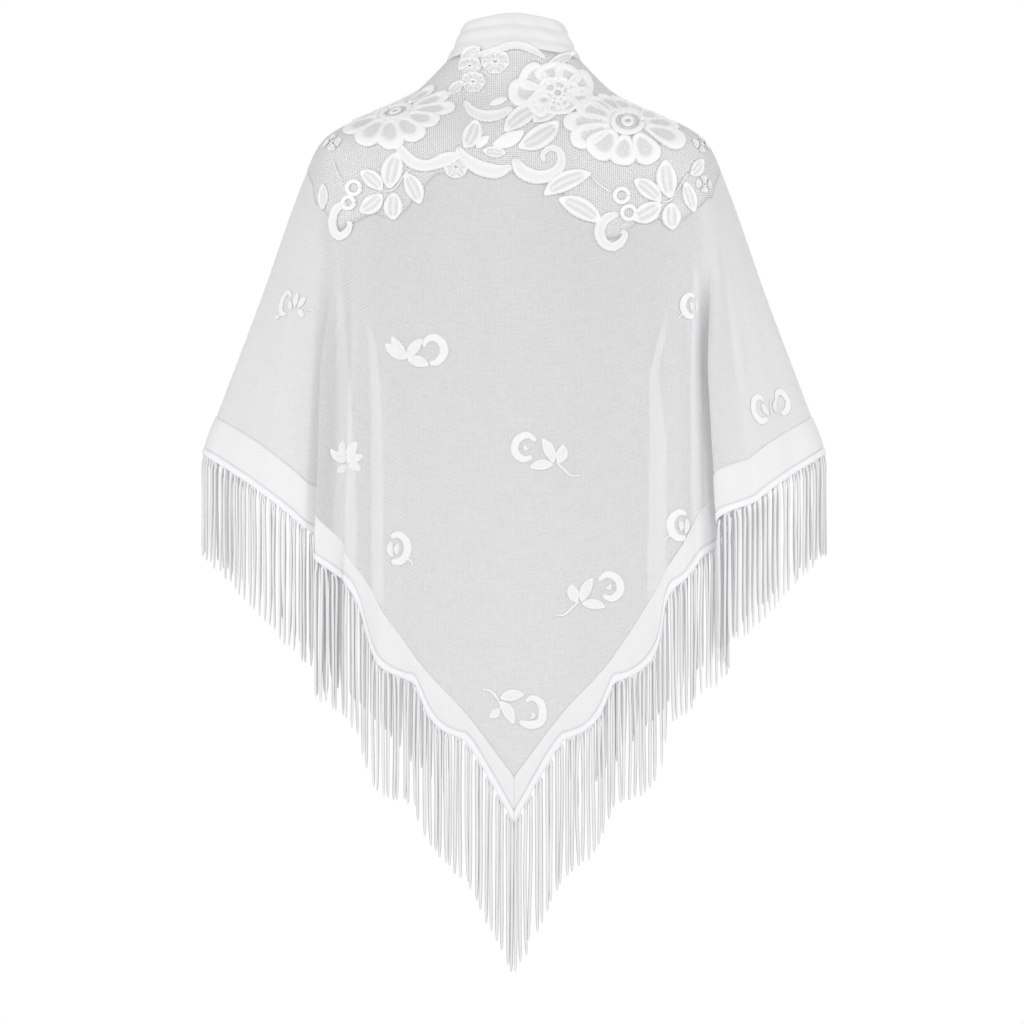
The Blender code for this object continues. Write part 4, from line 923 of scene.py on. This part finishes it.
# Rows across the band: metres from the outer edge and how far each stands.
BAND_ROWS = (
    (0.0000, -0.0004), (0.0006, 0.0003), (0.0018, 0.0006), (0.0035, 0.0007), (0.0052, 0.0006),
    (0.0064, 0.0003), (0.0072, -0.0006), (0.0080, 0.0001), (0.0092, 0.0004), (0.0120, 0.0005),
)
BAND_INNER = ((0.20, 0.0007), (0.45, 0.0008), (0.70, 0.0006), (0.88, 0.0004), (0.96, 0.0003), (1.0, -0.0003))
band_profile = np.array(BAND_ROWS + tuple((0.012 + f, h) for f, h in BAND_INNER))


edge_line, _, _ = spot(ACROSS, hem_end(ACROSS))
edge_run = np.maximum(np.linalg.norm(np.gradient(edge_line[:, :2], axis=0), axis=1), 0.0001)
edge_slope = np.minimum(np.hypot(1.0, np.gradient(edge_line[:, 2]) / edge_run), 1.9)
edge_slope = np.convolve(np.pad(edge_slope, 12, mode="edge"), np.full(25, 0.04), mode="valid")


def steepness(u):
    """How much longer the way down is than the way square to the edge."""
    return np.interp(u, ACROSS, edge_slope)


def band_down(u, row):
    """Distance down for a row: measured from the scalloped edge, then shared out to the inner edge."""
    outer = hem_end(u) - np.minimum(row, 0.012) * steepness(u)
    share = np.clip(row - 0.012, 0.0, 1.0)
    return outer + (band_start(u) - outer) * share


def band_stand(u, s, row):
    pucker = 0.00018 * np.sin(900 * u + 3 * np.sin(170 * u)) * np.exp(-((row - GROOVE_AT) / 0.006) ** 2)
    return BAND_STAND + np.interp(row, band_profile[:, 0], band_profile[:, 1]) + pucker


# Duchess satin of fine cotton: smooth and close, with a soft low sheen along the strip. The thread
# lines are about 0.2 mm apart and are drawn 1.5 mm apart so that they show.
satin_finish, tree, shader = new_finish("cotton_satin_band")
place = add(tree, "ShaderNodeTexCoord").outputs["UV"]
lines = add(tree, "ShaderNodeTexWave", {"Vector": place, "Scale": 2 * math.pi / 20 / 0.0015, "Distortion": 1.5,
                                        "Detail": 2.0, "Detail Scale": 0.5}, bands_direction="Y").outputs["Fac"]
clouds = add(tree, "ShaderNodeTexNoise", {"Vector": place, "Scale": 30.0, "Detail": 3.0}).outputs["Fac"]
mixed = add(tree, "ShaderNodeMath", {0: lines, 1: clouds}, operation="ADD").outputs[0]
level = add(tree, "ShaderNodeMapRange", {"Value": mixed, "From Min": 0.5, "From Max": 1.3}).outputs["Result"]
woven = add(tree, "ShaderNodeMix", {"Factor": level, 6: colour(BAND_SHADE), 7: colour(BAND_WHITE)},
            data_type="RGBA").outputs[2]
rim = add(tree, "ShaderNodeAttribute", attribute_name="rim").outputs["Fac"]
rimmed = add(tree, "ShaderNodeMix", {"Factor": rim, 6: woven, 7: colour(RIM_WHITE)}, data_type="RGBA").outputs[2]
# The groove of the stitched line is painted grey: painted shade in the dip.
groove = add(tree, "ShaderNodeAttribute", attribute_name="groove").outputs["Fac"]
groove_shaded = add(tree, "ShaderNodeMix", {"Factor": groove, 6: rimmed, 7: colour(GROOVE_SHADE)},
               data_type="RGBA").outputs[2]
relief = add(tree, "ShaderNodeBump", {"Height": mixed, "Strength": 0.08, "Distance": 0.0003}).outputs[0]
tree.links.new(groove_shaded, shader.inputs["Base Color"])
tree.links.new(relief, shader.inputs["Normal"])
shader.inputs["Roughness"].default_value = 0.58
shader.inputs["Sheen Weight"].default_value = 0.05

for side, low, high in (("left", -1.0, -0.0001), ("right", 0.0001, 1.0)):
    band, _, u, s = lay_cloth("satin_band_" + side, close_columns(low, high, 300), band_profile[::-1, 0],
                              band_down, band_stand, BAND_WALL)
    inside = (hem_end(u) - s) / steepness(u)
    # The groove mark sets where painted shade lies along the stitched line.
    for name, values in (("rim", 1 - ease(0.0058, 0.0070, inside)),
                         ("groove", np.exp(-((inside - GROOVE_AT) / 0.0007) ** 2))):
        band.data.attributes.new(name, "FLOAT", "POINT").data.foreach_set("value", values.astype(np.float32))
    settle(band)
    hand_over(band, satin_finish, "satin_band", "hem_band_" + side)

# The neck band. A long strip of the same satin, doubled and folded softly over itself round the
# neck, where it stands up, and laid flat down both front edges.
COLLAR_WIDTH = 0.042
COLLAR_LEAN = 0.44
COLLAR_NECK = 0.15
COLLAR_TURN_BEFORE = 0.070
COLLAR_TURN_AFTER = 0.040
COLLAR_GAP = 0.0012
COLLAR_WALL = 0.0022
# Across the band: share of its width and how far the soft folds stand out.
COLLAR_FOLDS = np.array(((0.00, 0.0000), (0.05, 0.0006), (0.16, 0.0012), (0.27, 0.0007), (0.36, -0.0003),
                         (0.42, 0.0004), (0.54, 0.0011), (0.64, 0.0006), (0.72, -0.0004), (0.78, 0.0003),
                         (0.88, 0.0009), (0.96, 0.0004), (1.00, -0.0005)))
front_rows = np.linspace(0.0, lengths[-1], 150)
neck_marks = np.linspace(0.0, 1.0, 60)[:-1]
collar_u = np.concatenate((neck_marks, np.ones(len(front_rows))))
collar_s = np.concatenate((np.zeros(len(neck_marks)), front_rows))
seam, _, _ = spot(np.minimum(collar_u, 1.0), collar_s)
inward = unit(seam * np.array((-1.0, -1.0, 0.0)))
standing = unit(COLLAR_LEAN * inward + np.array((0.0, 0.0, 1.0)))
gone = collar_s - (1 - collar_u) * COLLAR_NECK
turned = ease(-COLLAR_TURN_BEFORE, COLLAR_TURN_AFTER, gone)[:, None]
across_band = unit((1 - turned) * standing + turned * np.array((-1.0, 0.0, 0.0)))
along_band = unit(np.gradient(seam, axis=0))
out_band = unit(np.cross(along_band, across_band))
out_band[0] = unit(np.array((0.0, -1.0, COLLAR_LEAN)))
mirror = np.array((-1.0, 1.0, 1.0))
seam = np.concatenate((seam[:0:-1] * mirror, seam))
across_band = np.concatenate((across_band[:0:-1] * mirror, across_band))
out_band = np.concatenate((out_band[:0:-1] * mirror, out_band))
length_run = np.concatenate(((0.0,), np.cumsum(np.linalg.norm(np.diff(seam, axis=0), axis=1))))
collar_rows = np.linspace(0.0, 1.0, 25)
columns = len(seam) - 1
bpy.ops.mesh.primitive_grid_add(x_subdivisions=columns, y_subdivisions=len(collar_rows) - 1, size=2.0)
collar = bpy.context.object
collar.name = "neck_band_folded"
flat = np.empty(3 * len(collar.data.vertices), np.float32)
collar.data.vertices.foreach_get("co", flat)
flat = flat.reshape(-1, 3)
i = np.rint((flat[:, 0] + 1) / 2 * columns).astype(int)
share = (flat[:, 1] + 1) / 2
wander = 0.035 * np.sin(9.0 * length_run[i]) + 0.02 * np.sin(23.0 * length_run[i] + 1.0)
stand = through_rows(COLLAR_FOLDS[:, 0], COLLAR_FOLDS[:, 1:],
                     np.clip(share + wander * np.sin(math.pi * share), 0, 1))[:, 0]
stand = stand * (0.85 + 0.25 * np.sin(13.0 * length_run[i] + 7.0 * share))
stand = stand + 0.00035 * np.sin(160.0 * length_run[i] + 9.0 * share) * np.sin(math.pi * share)
placed = seam[i] + across_band[i] * (COLLAR_GAP + share * COLLAR_WIDTH)[:, None] + out_band[i] * stand[:, None]
collar.data.vertices.foreach_set("co", placed.astype(np.float32).ravel())
corners = np.empty(len(collar.data.loops), np.int32)
collar.data.loops.foreach_get("vertex_index", corners)
uv = np.stack((length_run[i], share * COLLAR_WIDTH), axis=1)[corners]
collar.data.uv_layers.active.data.foreach_set("uv", uv.astype(np.float32).ravel())
thick = collar.modifiers.new("Wall", "SOLIDIFY")
thick.thickness = COLLAR_WALL
thick.offset = -1.0
rounded = collar.modifiers.new("Rounded", "BEVEL")
rounded.width = 0.0009
rounded.segments = 2
rounded.angle_limit = math.radians(50)
settle(collar)
hand_over(collar, satin_finish, "satin_band", "neck_band")

# The fringe. Loops of soft smooth cotton cord, knotted over the lower edge of the band side by
# side, so that two legs hang from each; their cut ends are a little uneven and taper.
LOOP_PITCH = 0.0108
LEGS_APART = 0.0046
CORD_RADIUS = 0.0016
LOOP_RISE = 0.0046
LEG_TOP = 0.0042
LOOP_TUCK = 0.0016
FRONT_FREE = 0.0060
POINT_FREE = 0.0042
SEEN_SHARE = 0.60
FRINGE_SOLID = 0.0053
CORD_WHITE = "#F3F3F4"
CORD_SHADE = "#EAEAEB"
# The grey of the painted shade on the sides of the cords.
CORD_SIDE_SHADE = "#909095"
LEG_MARKS = (0.0, 0.06, 0.16, 0.32, 0.50, 0.68, 0.84, 0.95, 1.0)

cord_finish, tree, shader = new_finish("soft_cotton_cord")
place = add(tree, "ShaderNodeTexCoord").outputs["Object"]
# The fibres run along the cord. Where it lies beside its neighbours its sides are painted darker: painted shade.
drawn_out = add(tree, "ShaderNodeMapping", {"Vector": place, "Scale": (500.0, 500.0, 30.0)}).outputs[0]
mixed = add(tree, "ShaderNodeTexNoise", {"Vector": drawn_out, "Scale": 1.0, "Detail": 2.0}).outputs["Fac"]
level = add(tree, "ShaderNodeMapRange", {"Value": mixed, "From Min": 0.3, "From Max": 0.7}).outputs["Result"]
soft = add(tree, "ShaderNodeMix", {"Factor": level, 6: colour(CORD_SHADE), 7: colour(CORD_WHITE)},
           data_type="RGBA").outputs[2]
beside = add(tree, "ShaderNodeAttribute", attribute_name="beside").outputs["Fac"]
side_part = add(tree, "ShaderNodeMapRange", {"Value": beside, "From Min": 0.15, "From Max": 0.85,
                                             "To Max": 0.85}).outputs["Result"]
side_shaded = add(tree, "ShaderNodeMix", {"Factor": side_part, 6: soft, 7: colour(CORD_SIDE_SHADE)},
            data_type="RGBA").outputs[2]
relief = add(tree, "ShaderNodeBump", {"Height": mixed, "Strength": 0.18, "Distance": 0.0003}).outputs[0]
tree.links.new(side_shaded, shader.inputs["Base Color"])
tree.links.new(relief, shader.inputs["Normal"])
shader.inputs["Roughness"].default_value = 0.7
shader.inputs["Sheen Weight"].default_value = 0.1

chance = np.random.default_rng(7)
for side, low, high in (("left", -1.0, 0.0), ("right", 0.0, 1.0)):
    path_u = np.linspace(low, high, 1600)
    edge, edge_out, _ = spot(path_u, hem_end(path_u))
    edge = edge + edge_out * (BAND_STAND - 0.5 * BAND_WALL)
    # The loops lie closer where the hem runs away from the eye, though not as close as they would seem.
    moves = np.diff(edge[:, :2], axis=0)
    steps = np.maximum(np.abs(moves[:, 0]), SEEN_SHARE * np.linalg.norm(moves, axis=1))
    gone = np.concatenate(((0.0,), np.cumsum(steps)))
    # The first and the last loop leave the front edge free and meet at the point.
    starts, ends = (FRONT_FREE, POINT_FREE) if side == "left" else (POINT_FREE, FRONT_FREE)
    count = round((gone[-1] - starts - ends) / LOOP_PITCH) + 1
    line = bpy.data.curves.new("cords_" + side, "CURVE")
    line.dimensions = "3D"
    line.bevel_depth = CORD_RADIUS
    line.bevel_resolution = 2
    line.use_fill_caps = True
    for k in range(count):
        middle = starts + k * (gone[-1] - starts - ends) / (count - 1)
        apart = LEGS_APART * (1 + 0.06 * chance.standard_normal())
        legs = []
        for leg in (-0.5, 0.5):
            mark = middle + leg * apart
            top = np.array([np.interp(mark, gone, edge[:, n]) for n in range(3)])
            u = np.interp(mark, gone, path_u)
            ahead = unit(np.array([np.interp(mark + 0.001, gone, edge[:, n])
                                   - np.interp(mark - 0.001, gone, edge[:, n]) for n in range(2)]))
            drop = float(fall_column(u, 10)) + FRINGE_SOLID + 0.0030 * chance.uniform(-1, 1)
            sway = 0.0009 * chance.standard_normal()
            bow = 0.0006 * chance.standard_normal()
            wave = chance.uniform(0, 6.3)
            points = []
            for f in LEG_MARKS:
                move = sway * f * f + bow * math.sin(math.pi * f) + 0.0003 * math.sin(5 * f + wave) * min(1, 4 * f)
                deep = 0.0007 * math.sin(3 * f + 2 * wave) * min(1, 4 * f) + LOOP_TUCK * max(0, 1 - 30 * f)
                points.append((top[0] + ahead[0] * move - ahead[1] * deep,
                               top[1] + ahead[1] * move + ahead[0] * deep,
                               top[2] - LEG_TOP - f * (drop - LEG_TOP)))
            legs.append(points)
        left, right = legs
        crown = []
        for f in (0.07, 0.22, 0.5, 0.78, 0.93):
            x, y, z = [(1 - f) * a + f * b for a, b in zip(left[0], right[0])]
            crown.append((x, y, z + LOOP_RISE * math.sin(math.pi * f) ** 0.6))
        cord = left[::-1] + crown + right
        stout = 1.22 - 0.22 * float(ease(0.05, 0.50, abs(u)))
        thick = [stout] * len(cord)
        for n, size in ((0, 0.40), (1, 0.80), (2, 0.95), (-1, 0.40), (-2, 0.80), (-3, 0.95)):
            thick[n] = size * stout
        spline = line.splines.new("POLY")
        spline.points.add(len(cord) - 1)
        spline.points.foreach_set("co", [v for point in cord for v in (*point, 1.0)])
        spline.points.foreach_set("radius", thick)
    cords = bpy.data.objects.new("cord_fringe_" + side, line)
    bpy.context.collection.objects.link(cords)
    bpy.ops.object.select_all(action="DESELECT")
    cords.select_set(True)
    bpy.context.view_layer.objects.active = cords
    bpy.ops.object.convert(target="MESH")
    bpy.ops.object.shade_smooth()
    cords = bpy.context.object
    # How far each place on a cord is turned to the next cord along the hem, and less so where the
    # loops are further apart: the share of painted shade on the cord's sides.
    edge_tree = KDTree(len(edge))
    for k, (x, y, _) in enumerate(edge):
        edge_tree.insert((x, y, 0.0), k)
    edge_tree.balance()
    places = np.empty(3 * len(cords.data.vertices), np.float32)
    cords.data.vertices.foreach_get("co", places)
    turned = np.empty(len(places), np.float32)
    cords.data.vertices.foreach_get("normal", turned)
    nearest = [edge_tree.find((x, y, 0.0))[1] for x, y, _ in places.reshape(-1, 3)]
    ahead = unit(np.gradient(edge[:, :2], axis=0))[nearest]
    toward = np.abs((turned.reshape(-1, 3)[:, :2] * ahead).sum(1))
    toward = toward * np.maximum(np.abs(ahead[:, 0]), SEEN_SHARE)
    beside = 1 - np.sqrt(1 - np.minimum(toward, 1.0) ** 2)
    cords.data.attributes.new("beside", "FLOAT", "POINT").data.foreach_set("value", beside.astype(np.float32))
    hand_over(cords, cord_finish, "fringe_cord", "fringe_" + side)

# The studio. A plain pale floor far below the hem, broad soft lights from the back and the front,
# and a pale surround that the camera sees as nearly white.
bpy.ops.mesh.primitive_circle_add(vertices=96, radius=3.0, fill_type="NGON", location=(0.0, 0.0, -1.45))
floor = bpy.context.object
floor.name = "studio_floor"
floor_finish, tree, shader = new_finish("matt_painted_floor")
place = add(tree, "ShaderNodeTexCoord").outputs["Object"]
grain = add(tree, "ShaderNodeTexNoise", {"Vector": place, "Scale": 3.0, "Detail": 3.0}).outputs["Fac"]
painted = add(tree, "ShaderNodeMix", {"Factor": grain, 6: colour("#E4E4E2"), 7: colour("#EAEAE8")},
              data_type="RGBA").outputs[2]
tree.links.new(painted, shader.inputs["Base Color"])
shader.inputs["Roughness"].default_value = 0.9
floor.data.materials.append(floor_finish)

for name, place, target, size, power in (
    ("key_back_left", (-1.5, -4.8, 1.3), (0.0, -0.1, -0.4), 2.6, 84.0),
    ("fill_back_right", (2.6, -3.4, 0.4), (0.0, -0.1, -0.4), 2.6, 32.0),
    ("side_left", (-3.6, -0.6, 0.2), (-0.2, 0.0, -0.4), 2.2, 32.0),
    ("side_right", (3.6, -0.6, 0.2), (0.2, 0.0, -0.4), 2.2, 28.0),
    ("front_fill", (0.4, 3.4, 1.0), (0.0, 0.1, -0.4), 2.6, 45.0),
):
    lamp = bpy.data.lights.new(name, "AREA")
    lamp.shape = "DISK"
    lamp.size = size
    lamp.energy = power
    holder = bpy.data.objects.new(name, lamp)
    bpy.context.collection.objects.link(holder)
    holder.location = place
    aim = np.array(target) - np.array(place)
    turn = math.atan2(aim[1], aim[0])
    tilt = math.atan2(math.hypot(aim[0], aim[1]), -aim[2])
    holder.rotation_euler = (tilt, 0.0, turn - math.pi / 2)

world = bpy.data.worlds.new("pale_studio")
bpy.context.scene.world = world
world.use_nodes = True
tree = world.node_tree
tree.nodes.clear()
path = add(tree, "ShaderNodeLightPath").outputs["Is Camera Ray"]
lit = add(tree, "ShaderNodeBackground", {"Color": (1.0, 1.0, 1.0, 1.0), "Strength": 0.47}).outputs[0]
shown = add(tree, "ShaderNodeBackground", {"Color": (1.0, 1.0, 1.0, 1.0), "Strength": 1.0}).outputs[0]
both = add(tree, "ShaderNodeMixShader", {0: path, 1: lit, 2: shown}).outputs[0]
add(tree, "ShaderNodeOutputWorld", {"Surface": both})
bpy.context.scene.view_settings.view_transform = "Standard"

# The camera stands 7 m behind the back, level with the middle of the shawl, with a long lens.
camera = bpy.data.cameras.new("camera")
camera.lens = 232.0
camera.sensor_width = 36.0
eye = bpy.data.objects.new("camera", camera)
bpy.context.collection.objects.link(eye)
eye.location = (-0.0021, -6.99, -0.4746)
eye.rotation_euler = (math.pi / 2, 0.0, 0.0)
bpy.context.scene.camera = eye
